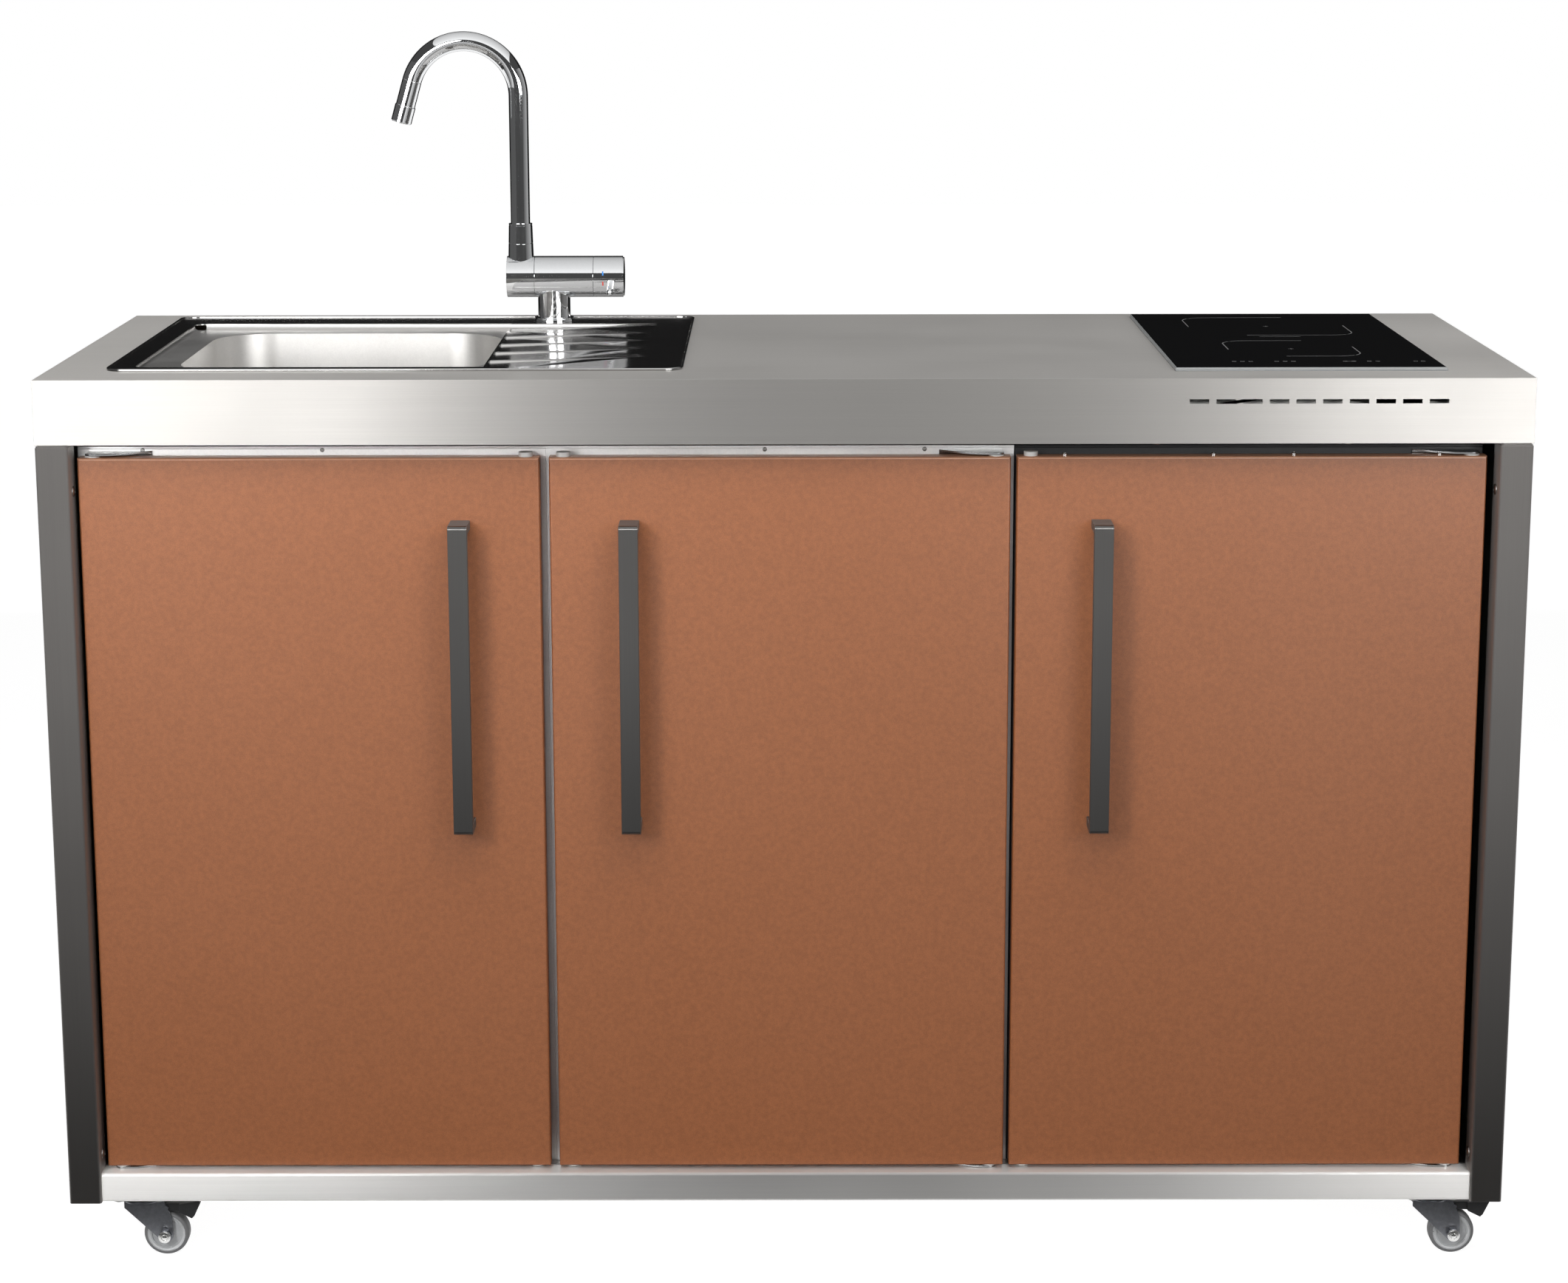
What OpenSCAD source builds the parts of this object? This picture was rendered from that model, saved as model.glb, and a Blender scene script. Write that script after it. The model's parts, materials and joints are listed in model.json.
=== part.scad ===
// Outdoor kitchen unit on castors: worktop with sink, folding tap and hob over two cabinets and a fridge.
// The origin is on the floor under the middle of the unit with its handles. X runs right, Y to the back.

/* [Modules] */
// Width of one cabinet or fridge module
module_w = 500; // [480:5:560]
// Clearance between the left post and the first cabinet
stack_gap = 0.5; // [0.3:0.1:2]
// Open gap between the fridge and the right post
end_gap = 9.5; // [8:0.5:20]
// Depth of the whole unit
unit_d = 600; // [590:5:680]

/* [Heights] */
// Height of a castor, from the floor to the frame
castor_h = 73; // [71:1:84]
// Height of the bottom rails
rail_h = 33; // [30:1:45]
// Gap between the bottom rail and the doors
door_low_gap = 4; // [4:0.5:8]
// Height of the doors
door_h = 791.5; // [740:0.5:860]
// Gap between the doors and the worktop fascia
door_top_gap = 16.5; // [15:0.5:24]
// Height of the worktop fascia
fascia_h = 69; // [66:1:90]

/* [Worktop] */
// Thickness of the worktop sheet
sheet_t = 2; // [1.5:0.1:3]
// Width of the lip that turns in under the fascia
lip_w = 26; // [24:1:30]
// Thickness of the board that stiffens the worktop
core_t = 20; // [16:1:24]
// Width of the hidden tubes under the worktop
top_tube_w = 30; // [26:1:32]
// Number of vent slots in front of the hob
vent_count = 10; // [6:1:11]
// Length of a vent slot
vent_w = 20.4; // [14:0.2:24]
// Height of a vent slot
vent_h = 4.6; // [3:0.2:7]
// Spacing of the vent slots
vent_pitch = 28; // [26:0.5:28.5]
// Depth of the vent slots below the worktop surface
vent_drop = 24.3; // [23:0.1:28]

/* [Frame] */
// Width of a square post
post_w = 35; // [32:1:40]
// Outside corner radius of the posts
post_r = 3; // [1.5:0.5:5]
// Wall of the posts and rails
tube_t = 2; // [1.5:0.1:3]
// Shadow gap between a post and the worktop
post_gap = 1.7; // [1:0.1:3]
// Setback of the rails behind the faces of the posts
rail_recess = 5; // [4:0.5:7]
// Outside corner radius of the rails
rail_r = 3.5; // [1.5:0.5:5]
// Thickness of the base pan
pan_t = 2; // [1.5:0.5:4]
// Thickness of the corner plates over the castors
corner_t = 3; // [2:0.5:4]
// Depth of the turned-down edge of the base pan
pan_lip = 20; // [12:1:24]
// Thickness of the side and back panels
panel_t = 1.2; // [1:0.1:2.5]
// Depth of the folded edges of the side and back panels
panel_lip = 18; // [12:1:24]
// Distance of the end screws of a panel from the ends of its rail
panel_screw_in = 60; // [50:1:90]
// Distance of the post screws from the front or back face
post_screw_in = 19; // [15:0.5:21]
// Distance of the post screws from the ends of the post
post_screw_end = 52; // [40:1:90]

/* [Screws] */
// Head diameter of the frame screws
screw_head_d = 12; // [9:0.5:12.5]
// Head height of the frame screws
screw_head_h = 2.2; // [1.6:0.1:2.2]
// Shank diameter of the frame screws
screw_d = 5; // [4:0.5:6]
// Shank length of the frame screws
screw_l = 9; // [8:0.5:12]
// Clearance of a screw in its hole, on the radius
screw_play = 0.1; // [0.05:0.05:0.3]

/* [Cabinets] */
// Open space between the cabinets and the back panel
back_room = 47; // [40:1:70]
// Sheet thickness of the cabinets
cabinet_t = 1.2; // [1:0.1:2]
// Width of the folded front edge of a cabinet
cabinet_lip = 30; // [27:1:36]
// Height of the top rail of a cabinet
cabinet_rail = 34; // [26:1:40]
// Gap between the cabinets and the worktop
cabinet_gap = 8.4; // [6:0.2:10]
// Height of the shelf above the cabinet floor
shelf_z = 390; // [250:5:560]
// Thickness of the shelf over its folded edges
shelf_h = 20; // [14:1:30]
// Clearance of the shelf to the cabinet walls
shelf_play = 2; // [0.5:0.5:4]
// Diameter of a shelf pin
shelf_pin_d = 8; // [5:0.5:12]

/* [Doors] */
// Thickness of a door
door_t = 20; // [18:0.5:24]
// Setback of the doors behind the faces of the posts
door_recess = 18; // [16:0.5:24]
// Sheet thickness of a door
door_skin = 1.5; // [1:0.1:2.5]
// Edge radius of a door front
door_r = 2.5; // [1:0.5:4]
// Gap between the back of a door and the cabinet
door_back_gap = 10; // [9.5:0.5:14]
// Reveal of a cabinet edge beside a cabinet door
door_reveal = 5; // [4:0.5:7]
// Clearance between the fridge and the cabinet next to it
fridge_gap = 1; // [0.5:0.5:2]
// Reveal of the fridge edge beside its door
fridge_reveal = 0.5; // [0.3:0.1:1]
// Distance of the door pivot from the door edge
pivot_in = 15; // [13:0.5:16]
// Diameter of the pivot pins
pivot_d = 6; // [5:0.5:8]
// Running clearance of a pivot pin, on the radius
pivot_play = 0.05; // [0.03:0.01:0.1]
// Length of a pivot pin inside a door
pivot_l = 10; // [7:0.5:14]
// Diameter of the collar of a pivot bush
bush_d = 16; // [14:0.5:17]
// Height of the collar of an upper pivot bush
bush_h = 1.7; // [1.2:0.1:2]
// Height of a plug on the unused pivot hole
plug_h = 5; // [2:0.5:6]
// Inset of the inner door pan from the door edge
liner_in = 18; // [17:1:20]
// Clearance that every closed door keeps to the cabinet
seat_gap = 0.4; // [0.3:0.1:1]

/* [Hinge brackets] */
// Thickness of a hinge arm
arm_t = 2; // [1.5:0.1:2]
// Length of a hinge arm along the door
arm_l = 60; // [50:1:80]
// Height of the tab that screws to the cabinet
tab_h = 14; // [10:1:20]

/* [Handles] */
// Overall length of a handle
handle_l = 336; // [220:2:480]
// Width of the handle bar
handle_w = 20.5; // [16:0.5:26]
// Thickness of the handle bar
handle_t = 10; // [6:0.5:12]
// Distance from the door face to the front of the handle
handle_out = 40; // [32:1:55]
// Outside bend radius of a handle
handle_r = 4; // [2:0.5:6]
// Distance from the top of the door to the top of the handle
handle_drop = 67; // [40:1:160]
// Distance from the free edge of a door to the middle of the handle
handle_in = 85; // [50:1:120]

/* [Sink] */
// Width of the sink
sink_w = 620; // [600:5:640]
// Depth of the sink
sink_d = 500; // [490:2:510]
// Distance of the sink centre from the left end of the worktop
sink_from_left = 372; // [362:1:400]
// Shift of the sink centre to the back
sink_shift = 19; // [14:1:22]
// Sheet thickness of the sink
sink_t = 1.2; // [0.8:0.1:2]
// Corner radius of the sink rim
sink_r = 22; // [14:1:40]
// Radius of the rolled bead round the rim
bead_r = 1.5; // [1:0.1:2.5]
// Width of the flat rim at the sides and front
rim_w = 28; // [24:1:32]
// Width of the flat tap ledge at the back
ledge_w = 70; // [66:1:76]
// Depth of the shallow well inside the rim
well_h = 6; // [4:0.5:9]
// Corner radius of the shallow well
well_r = 12; // [9:1:14]
// Width of the bowl
bowl_w = 334; // [300:2:340]
// Front to back size of the bowl
bowl_d = 344; // [320:2:360]
// Depth of the bowl below the rim
bowl_h = 150; // [110:5:170]
// Corner radius of the bowl, seen from above
bowl_r = 68; // [50:1:80]
// Radius between the bowl walls and its floor
bowl_floor_r = 34; // [20:1:40]
// Gap between the rim of the bowl and the left edge of the well
bowl_side = 38; // [36:1:50]
// Shift of the bowl to the front, from the middle of the well
bowl_shift = 18; // [14:1:22]
// Number of ribs on the drainer
rib_count = 5; // [3:1:5]
// Spacing of the drainer ribs
rib_pitch = 74; // [60:1:76]
// Shift of the drainer ribs to the back, from the middle of the well
rib_shift = 32; // [10:1:34]
// Radius of the rounded drainer ribs
rib_r = 5; // [4:0.5:7]
// Height of the drainer ribs
rib_h = 2.2; // [1.5:0.1:3]
// Distance of the drainer ribs from the right edge of the well
rib_end = 15; // [15:1:40]
// Further distance of the ribs between the first and the last
rib_step = 8; // [0:1:20]
// Distance of the top of the drainer slope from the right edge of the well
drain_end = 14; // [14:0.5:15]

/* [Waste] */
// Diameter of the waste hole in the bowl
waste_hole = 90; // [80:1:96]
// Outside diameter of the waste flange
waste_d = 112; // [104:1:120]
// Depth of the waste cup below the bowl
waste_h = 36; // [28:1:44]
// Diameter of the waste pipe
pipe_d = 40; // [32:1:44]
// Diameter of the bottle trap
trap_d = 64; // [54:1:76]
// Height of the bottle trap
trap_h = 110; // [90:2:140]
// Length of the tail pipe between the waste and the trap
tail_l = 70; // [60:2:110]
// Travel of the strainer basket when it is lifted
basket_lift = 40; // [30:1:60]

/* [Tap] */
// Distance of the tap from the right edge of the sink
tap_from_right = 167.5; // [140:0.5:175]
// Distance of the tap from the back edge of the sink
tap_from_back = 41; // [38:0.5:44]
// Diameter of the tap hole in the sink
tap_hole = 35; // [33:1:36]
// Diameter of the threaded shank
tap_shank_d = 32; // [28:1:32.5]
// Diameter of the foot of the tap
tap_foot_d = 49; // [44:0.5:54]
// Diameter of the upright column
tap_column_d = 38.5; // [32:0.5:42]
// Height of the barrel axis above the rim
tap_axis_h = 53; // [48:0.5:64]
// Diameter of the barrel
barrel_d = 49; // [44:0.5:52]
// Length of the fixed middle of the barrel
barrel_l = 70; // [64:0.5:90]
// Length of the folding end of the barrel
fold_l = 33.5; // [33:0.5:44]
// Length of the mixer cap
cap_l = 36.5; // [30:0.5:44]
// Width of the seams between the barrel pieces
seam = 0.5; // [0.3:0.1:1]
// Diameter of the spigots that the barrel ends turn on
spigot_d = 30; // [24:0.5:32]
// Running clearance of the turning tap pieces, on the radius
tap_play = 0.05; // [0.03:0.01:0.1]
// Diameter of the collar at its foot
collar_d = 30.5; // [28:0.5:33]
// Diameter of the collar at its top
collar_top_d = 28; // [26:0.5:30]
// Height of the collar above the barrel
collar_h = 39; // [28:1:50]
// Diameter of the spout tube
spout_d = 23; // [20:0.5:24]
// Wall of the spout tube
spout_t = 1.5; // [1:0.1:2.5]
// Length of the straight part of the spout above the collar
spout_up = 150; // [100:1:200]
// Bend radius of the spout
spout_r = 64; // [50:1:90]
// Bend angle of the spout
spout_turn = 164; // [120:1:178]
// Straight end of the spout after the bend
spout_end = 30; // [20:1:60]
// Length of the aerator
aerator_l = 20.5; // [14:0.5:30]
// Diameter of the aerator
aerator_d = 24.5; // [24:0.5:28]
// Diameter of the mixer lever
lever_d = 8.5; // [6:0.5:10]
// Length of the mixer lever outside the cap
lever_l = 30; // [20:1:50]
// Angle of the lever below level
lever_tilt = 14; // [0:1:30]

/* [Hob] */
// Width of the hob glass
hob_w = 290; // [270:2:300]
// Depth of the hob glass
hob_d = 505; // [490:1:520]
// Distance of the hob centre from the right end of the worktop
hob_from_right = 227.5; // [190:0.5:235]
// Shift of the hob centre to the back
hob_shift = 11.5; // [0:0.5:14]
// Thickness of the hob glass
glass_t = 4; // [3:0.5:6]
// Bevel of the hob glass edge
glass_bevel = 1.2; // [0.5:0.1:2]
// Width of the glass edge that lies on the worktop
glass_edge = 12; // [8:1:18]
// Depth of the hob case below the worktop surface
hob_case_h = 45; // [40:1:50]
// Diameter of the rear heating coil
coil_back_d = 180; // [140:2:190]
// Diameter of the front heating coil
coil_front_d = 145; // [120:2:180]
// Distance between the two coil centres
coil_gap = 215; // [200:1:230]

/* [Fridge] */
// Wall of the insulated fridge body
insulation = 32; // [24:1:44]
// Thickness of the fridge inner liner
liner_t = 2; // [1.5:0.5:3]
// Height of the space for the compressor
machine_h = 195; // [180:5:240]
// Depth of the space for the compressor
machine_d = 160; // [150:2:180]
// Diameter of the compressor
compressor_d = 136; // [110:2:144]
// Height of the compressor
compressor_h = 160; // [130:2:170]
// Number of glass shelves in the fridge
fridge_shelf_count = 3; // [2:1:4]
// Thickness of a glass shelf
fridge_shelf_t = 5; // [4:0.5:8]
// Width of the ledges that carry the glass shelves
ledge_in = 8; // [5:0.5:12]
// Depth of the bottle rack on the fridge door
rack_d = 58; // [40:1:70]
// Height of a bottle rack
rack_h = 70; // [50:1:90]
// Height of the lowest bottle rack in the door
rack_z = 30; // [10:1:40]
// Spacing of the bottle racks
rack_pitch = 240; // [200:1:250]
// Diameter of the thermostat knob
knob_d = 34; // [24:1:40]

/* [Castors] */
// Diameter of a castor wheel
wheel_d = 50; // [44:1:50]
// Width of a castor wheel
wheel_w = 18; // [15:0.5:20]
// Diameter of the grey hub inside the tyre
hub_d = 39; // [32:0.5:40]
// Distance between the swivel axis and the wheel axle
trail = 26; // [22:0.5:28]
// Side of the castor top plate
plate_w = 58; // [54:1:60]
// Thickness of the castor top plate
plate_t = 2.5; // [2:0.1:3]
// Distance of the castor screws from the swivel axis, along X and Y
plate_screw = 22; // [20:0.5:23]
// Distance of the swivel axis from the end of the worktop
castor_in_x = 73; // [70:0.5:90]
// Distance of the swivel axis from the front of the worktop
castor_in_y = 42; // [38:0.5:44]
// Thickness of the fork sheet
fork_t = 2; // [1.5:0.1:2.5]
// Side clearance between the wheel and the fork
wheel_play = 1.5; // [1:0.1:3]
// Diameter of the axle
axle_d = 8; // [6:0.5:9]
// Diameter of the swivel pin
kingpin_d = 10; // [8:0.5:12]
// Running clearance of the castor pins, on the radius
castor_play = 0.05; // [0.03:0.01:0.1]

/* [Hidden] */
$fn = 48;
eps = 0.01;

// Overall sizes
unit_w = 3 * module_w + 2 * post_w + stack_gap + end_gap;
half_w = unit_w / 2;
half_d = unit_d / 2;
z_frame = castor_h;
z_rail = z_frame + rail_h;
z_door = z_rail + door_low_gap;
z_door_top = z_door + door_h;
z_fascia = z_door_top + door_top_gap;
z_top = z_fascia + fascia_h;
z_cabinet = z_fascia - cabinet_gap;
post_x = half_w - post_w;
post_y = half_d - post_w;
rail_d = post_w - rail_recess;
stack_x = -post_x + stack_gap;
y_middle = (handle_out - door_recess) / 2;

// Doors and cabinets, front to back
y_door = -half_d + door_recess;
y_door_back = y_door + door_t;
y_cabinet = y_door_back + door_back_gap;
cabinet_d = half_d - rail_recess - back_room - y_cabinet;
y_pivot = y_door + door_t / 2;
left_x = stack_x;
middle_x = stack_x + module_w;
fridge_x = stack_x + 2 * module_w + fridge_gap;
fridge_w = module_w - fridge_gap;
door_w = module_w - 2 * door_reveal;
fridge_door_w = fridge_w - 2 * fridge_reveal;
left_door_x = left_x + door_reveal;
middle_door_x = middle_x + door_reveal;
right_door_x = fridge_x + fridge_reveal;
left_pivot_x = left_door_x + pivot_in;
middle_pivot_x = middle_door_x + door_w - pivot_in;
right_pivot_x = right_door_x + fridge_door_w - pivot_in;

// Sink, tap and hob places on the worktop
sink_x = -half_w + sink_from_left;
sink_y = sink_shift;
z_rim = z_top + sink_t;
cut_in = 12;
well_w = sink_w - 2 * rim_w;
well_d = sink_d - rim_w - ledge_w;
well_y = sink_y + (rim_w - ledge_w) / 2;
bowl_x = sink_x - well_w / 2 + bowl_side + bowl_w / 2;
bowl_y = well_y - bowl_shift;
z_bowl = z_rim - bowl_h;
tap_x = sink_x + sink_w / 2 - tap_from_right;
tap_y = sink_y + sink_d / 2 - tap_from_back;
z_tap = z_rim + tap_axis_h;
barrel_x = tap_x + 13;
fold_x = barrel_x - barrel_l / 2 - fold_l / 2;
cap_x = barrel_x + barrel_l / 2 + cap_l / 2;
z_collar = z_tap + barrel_d / 2 + collar_h;
z_bend = z_collar + spout_up;
hob_x = half_w - hob_from_right;
hob_y = hob_shift;

// Waste, trap and basket
z_cup = z_bowl - waste_h;
z_trap = z_cup - tail_l;

// Fridge inside
cavity_x = fridge_x + insulation;
cavity_w = fridge_w - 2 * insulation;
z_cavity = z_rail + insulation;
z_cavity_top = z_cabinet - insulation;
y_fridge_back = y_cabinet + cabinet_d;
z_step = z_rail + machine_h + insulation;
y_step = y_fridge_back - machine_d - insulation;

// Castors
castor_x = half_w - castor_in_x;
castor_y = half_d - castor_in_y;
z_plate = z_frame - plate_t;
z_fork = z_plate - 4.8;
fork_in = wheel_w / 2 + wheel_play;
z_axle = wheel_d / 2;

// Flat rounded rectangle, centred
module rounded(w, h, r) {
    square([w - 2 * r, h], center = true);
    square([w, h - 2 * r], center = true);
    for (x = [-1, 1], y = [-1, 1])
        translate([x * (w / 2 - r), y * (h / 2 - r)]) circle(r);
}

// Rectangular tube along Z, centred on the axis
module tube(w, h, l, r) {
    linear_extrude(l) difference() {
        rounded(w, h, r);
        rounded(w - 2 * tube_t, h - 2 * tube_t, max(r - tube_t, 0.4));
    }
}

// Tray-shaped solid with round corners and a rounded floor, open side up at z = 0
module tray(w, d, h, r, floor_r) {
    for (x = [-1, 1], y = [-1, 1])
        translate([x * (w / 2 - r), y * (d / 2 - r), -h]) rotate_extrude() {
            square([r - floor_r, h]);
            translate([0, floor_r]) square([r, h - floor_r]);
            intersection() {
                translate([r - floor_r, floor_r]) circle(floor_r);
                square([r, h]);
            }
        }
    rotate([90, 0, 0]) linear_extrude(d - 2 * r, center = true) tray_section(w, h, floor_r);
    rotate([90, 0, 90]) linear_extrude(w - 2 * r, center = true) tray_section(d, h, floor_r);
}

// Section through a tray: flat top, rounded lower corners
module tray_section(w, h, floor_r) {
    translate([-w / 2 + floor_r, -h]) square([w - 2 * floor_r, h]);
    translate([-w / 2, -h + floor_r]) square([w, h - floor_r]);
    for (x = [-1, 1]) intersection() {
        translate([x * (w / 2 - floor_r), -h + floor_r]) circle(floor_r);
        translate([-w / 2, -h]) square([w, h]);
    }
}

// Screw along Z: domed head above z = 0, shank below
module screw(head_d, head_h, l) {
    ball = (head_d * head_d / 4 + head_h * head_h) / (2 * head_h);
    intersection() {
        cylinder(d = head_d, h = head_h);
        translate([0, 0, head_h - ball]) sphere(ball);
    }
    translate([0, 0, -l]) cylinder(d = screw_d, h = l + 0.2);
}

// Hole for a screw shank, along Z through z = 0
module screw_hole(l) {
    translate([0, 0, -l / 2]) cylinder(r = screw_d / 2 + screw_play, h = l);
}

// Worktop: top sheet, fascia on four sides and a lip turned in below, with the cut-outs
module worktop() {
    color("#c9c7c3") difference() {
        translate([-half_w, -half_d, z_fascia]) cube([unit_w, unit_d, fascia_h]);
        translate([-half_w + sheet_t, -half_d + sheet_t, z_fascia + sheet_t])
            cube([unit_w - 2 * sheet_t, unit_d - 2 * sheet_t, fascia_h - 2 * sheet_t]);
        translate([-half_w + lip_w, -half_d + lip_w, z_fascia - 1])
            cube([unit_w - 2 * lip_w, unit_d - 2 * lip_w, sheet_t + 2]);
        top_cutouts();
        for (i = [0 : vent_count - 1])
            translate([hob_x + (i - (vent_count - 1) / 2) * vent_pitch, -half_d, z_top - vent_drop])
                cube([vent_w, 3 * sheet_t, vent_h], center = true);
    }
}

// Cut-outs for the sink and the hob, through the worktop and its board
module top_cutouts() {
    translate([sink_x, sink_y, z_top - core_t - sheet_t - 1])
        linear_extrude(core_t + sheet_t + 2)
            rounded(sink_w - 2 * cut_in, sink_d - 2 * cut_in, sink_r - cut_in / 2);
    translate([hob_x, hob_y, z_top - core_t - sheet_t - 1])
        linear_extrude(core_t + sheet_t + 2)
            rounded(hob_w - 2 * glass_edge, hob_d - 2 * glass_edge, 3);
}

// Board glued under the top sheet
module worktop_core() {
    color("#8a7f72") difference() {
        translate([-half_w + sheet_t, -half_d + sheet_t, z_top - sheet_t - core_t])
            cube([unit_w - 2 * sheet_t, unit_d - 2 * sheet_t, core_t]);
        top_cutouts();
    }
}

// Ring of tubes inside the fascia, between the lip and the board
module worktop_frame() {
    h = fascia_h - 2 * sheet_t - core_t;
    w = unit_w - 2 * sheet_t;
    d = unit_d - 2 * sheet_t;
    color("#9b9994") translate([0, 0, z_fascia + sheet_t]) difference() {
        translate([-w / 2, -d / 2, 0]) cube([w, d, h]);
        translate([-w / 2 + top_tube_w, -d / 2 + top_tube_w, -1])
            cube([w - 2 * top_tube_w, d - 2 * top_tube_w, h + 2]);
        for (y = [-1, 1]) translate([0, y * (d - top_tube_w) / 2, h / 2])
            cube([w - 2 * tube_t, top_tube_w - 2 * tube_t, h - 2 * tube_t], center = true);
        for (x = [-1, 1]) translate([x * (w - top_tube_w) / 2, 0, h / 2])
            cube([top_tube_w - 2 * tube_t, d - 2 * tube_t, h - 2 * tube_t], center = true);
        translate([hob_x, -d / 2, z_top - vent_drop - z_fascia - sheet_t])
            cube([vent_count * vent_pitch, 4 * top_tube_w, vent_h + 4], center = true);
    }
}

// Heights of the two screws in each post
post_screw_z = [z_frame + post_screw_end, z_fascia - post_screw_end];

// Square post with welded end caps, screw holes in its inner face; sx, sy = which corner
module post(sx, sy) {
    l = z_fascia - post_gap - z_frame;
    cap = 1.5;
    color("#57524d") translate([sx * (half_w - post_w / 2), sy * (half_d - post_w / 2), 0])
        difference() {
            union() {
                translate([0, 0, z_frame]) tube(post_w, post_w, l - cap, post_r);
                translate([0, 0, z_frame + l - cap])
                    linear_extrude(cap) rounded(post_w - 1.4, post_w - 1.4, post_r);
                translate([0, 0, z_frame + l - eps])
                    linear_extrude(post_gap + eps) rounded(post_w - 5, post_w - 5, post_r - 1);
                translate([0, 0, z_frame])
                    linear_extrude(3) rounded(post_w - tube_t, post_w - tube_t, post_r - 1);
            }
            for (z = post_screw_z)
                translate([-sx * post_w / 2, sy * (post_w / 2 - post_screw_in), z])
                    rotate([0, 90, 0]) screw_hole(4 * tube_t);
        }
}
module front_left_post() post(-1, -1);
module front_right_post() post(1, -1);
module back_left_post() post(-1, 1);
module back_right_post() post(1, 1);

// Screw holes for the castor plates, under the rails and corner plates
module castor_holes() {
    for (sx = [-1, 1], sy = [-1, 1], x = [-1, 1], y = [-1, 1])
        translate([sx * castor_x + x * plate_screw, sy * castor_y + y * plate_screw, z_frame])
            screw_hole(4 * corner_t);
}

// Positions of the panel screws along a rail of length l
function panel_screw_at(l, n) = [for (i = [0 : n - 1])
    -l / 2 + panel_screw_in + i * (l - 2 * panel_screw_in) / (n - 1)];
side_screw_y = panel_screw_at(2 * post_y, 3);
back_screw_x = panel_screw_at(2 * post_x, 5);
z_panel_screw = z_frame + rail_h / 2;

// Front and back bottom rails between the posts
module long_rails() {
    color("#c4c0ba") difference() {
        for (y = [-1, 1])
            translate([-post_x, y * (half_d - rail_recess - rail_d / 2), z_frame + rail_h / 2])
                rotate([90, 0, 90]) tube(rail_d, rail_h, 2 * post_x, rail_r);
        castor_holes();
        for (x = back_screw_x) translate([x, half_d - rail_recess, z_panel_screw])
            rotate([90, 0, 0]) screw_hole(4 * tube_t);
    }
}

// Size of the corner plates that the castors bolt to
corner_x = castor_in_x - post_w + plate_w / 2 + 2;
corner_y = castor_in_y - post_w + plate_w / 2 + 2;

// Side bottom rails, each with its two welded corner plates
module side_rails() {
    color("#b5b1ab") difference() {
        union() {
            for (x = [-1, 1])
                translate([x * (half_w - rail_recess - rail_d / 2), post_y, z_frame + rail_h / 2])
                    rotate([90, 0, 0]) tube(rail_d, rail_h, 2 * post_y, rail_r);
            for (x = [-1, 1], y = [-1, 1])
                translate([x * (post_x - corner_x / 2 + tube_t / 2), y * (post_y - corner_y / 2),
                    z_frame + corner_t / 2])
                    cube([corner_x + tube_t, corner_y, corner_t], center = true);
        }
        castor_holes();
        for (x = [-1, 1], y = side_screw_y) translate([x * (half_w - rail_recess), y, z_panel_screw])
            rotate([0, 90, 0]) screw_hole(4 * tube_t);
    }
}

// Base pan between the rails, with a turned-down edge all round
module base_pan() {
    color("#a9a5a0") difference() {
        translate([-post_x, -post_y, z_rail - pan_lip]) cube([2 * post_x, 2 * post_y, pan_lip]);
        translate([-post_x + pan_t, -post_y + pan_t, z_rail - pan_lip - 1])
            cube([2 * (post_x - pan_t), 2 * (post_y - pan_t), pan_lip + 1 - pan_t]);
    }
}

panel_low = 6;
back_fold = post_screw_in - rail_recess - screw_head_d / 2 - 1;
panel_top_gap = 0.5;

// Side panels on the outside of the side rails, between the posts
module side_panels() {
    h = z_fascia - panel_top_gap - z_frame - panel_low;
    color("#8d8882") difference() {
        for (x = [-1, 1]) translate([x * (half_w - rail_recess), 0, z_frame + panel_low])
            rotate([0, 0, -90 * x]) side_sheet(h);
        for (x = [-1, 1], y = side_screw_y) translate([x * (half_w - rail_recess), y, z_panel_screw])
            rotate([0, 90, 0]) screw_hole(4 * panel_t);
    }
}

// Side sheet whose folded edges start above the side rail
module side_sheet(h) {
    w = 2 * post_y;
    translate([-w / 2, 0, 0]) cube([w, panel_t, h]);
    for (x = [-1, 1])
        translate([x * (w / 2 - panel_t / 2), -panel_lip / 2 + eps, (h + rail_h - panel_low) / 2])
            cube([panel_t, panel_lip, h - rail_h + panel_low], center = true);
}

// Places on the back: drain outlet, water inlet and power inlet
outlet_x = bowl_x;
inlet_x = tap_x;
inlet_z = z_rail + 120;
power_x = middle_x + module_w / 2;
outlet_z = z_trap - 0.7 * pipe_d;
inlet_hole = 22;
inlet_bore = 14;
inlet_flange = 2;
inlet_l = 22;
inlet_depth = 18;

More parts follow.
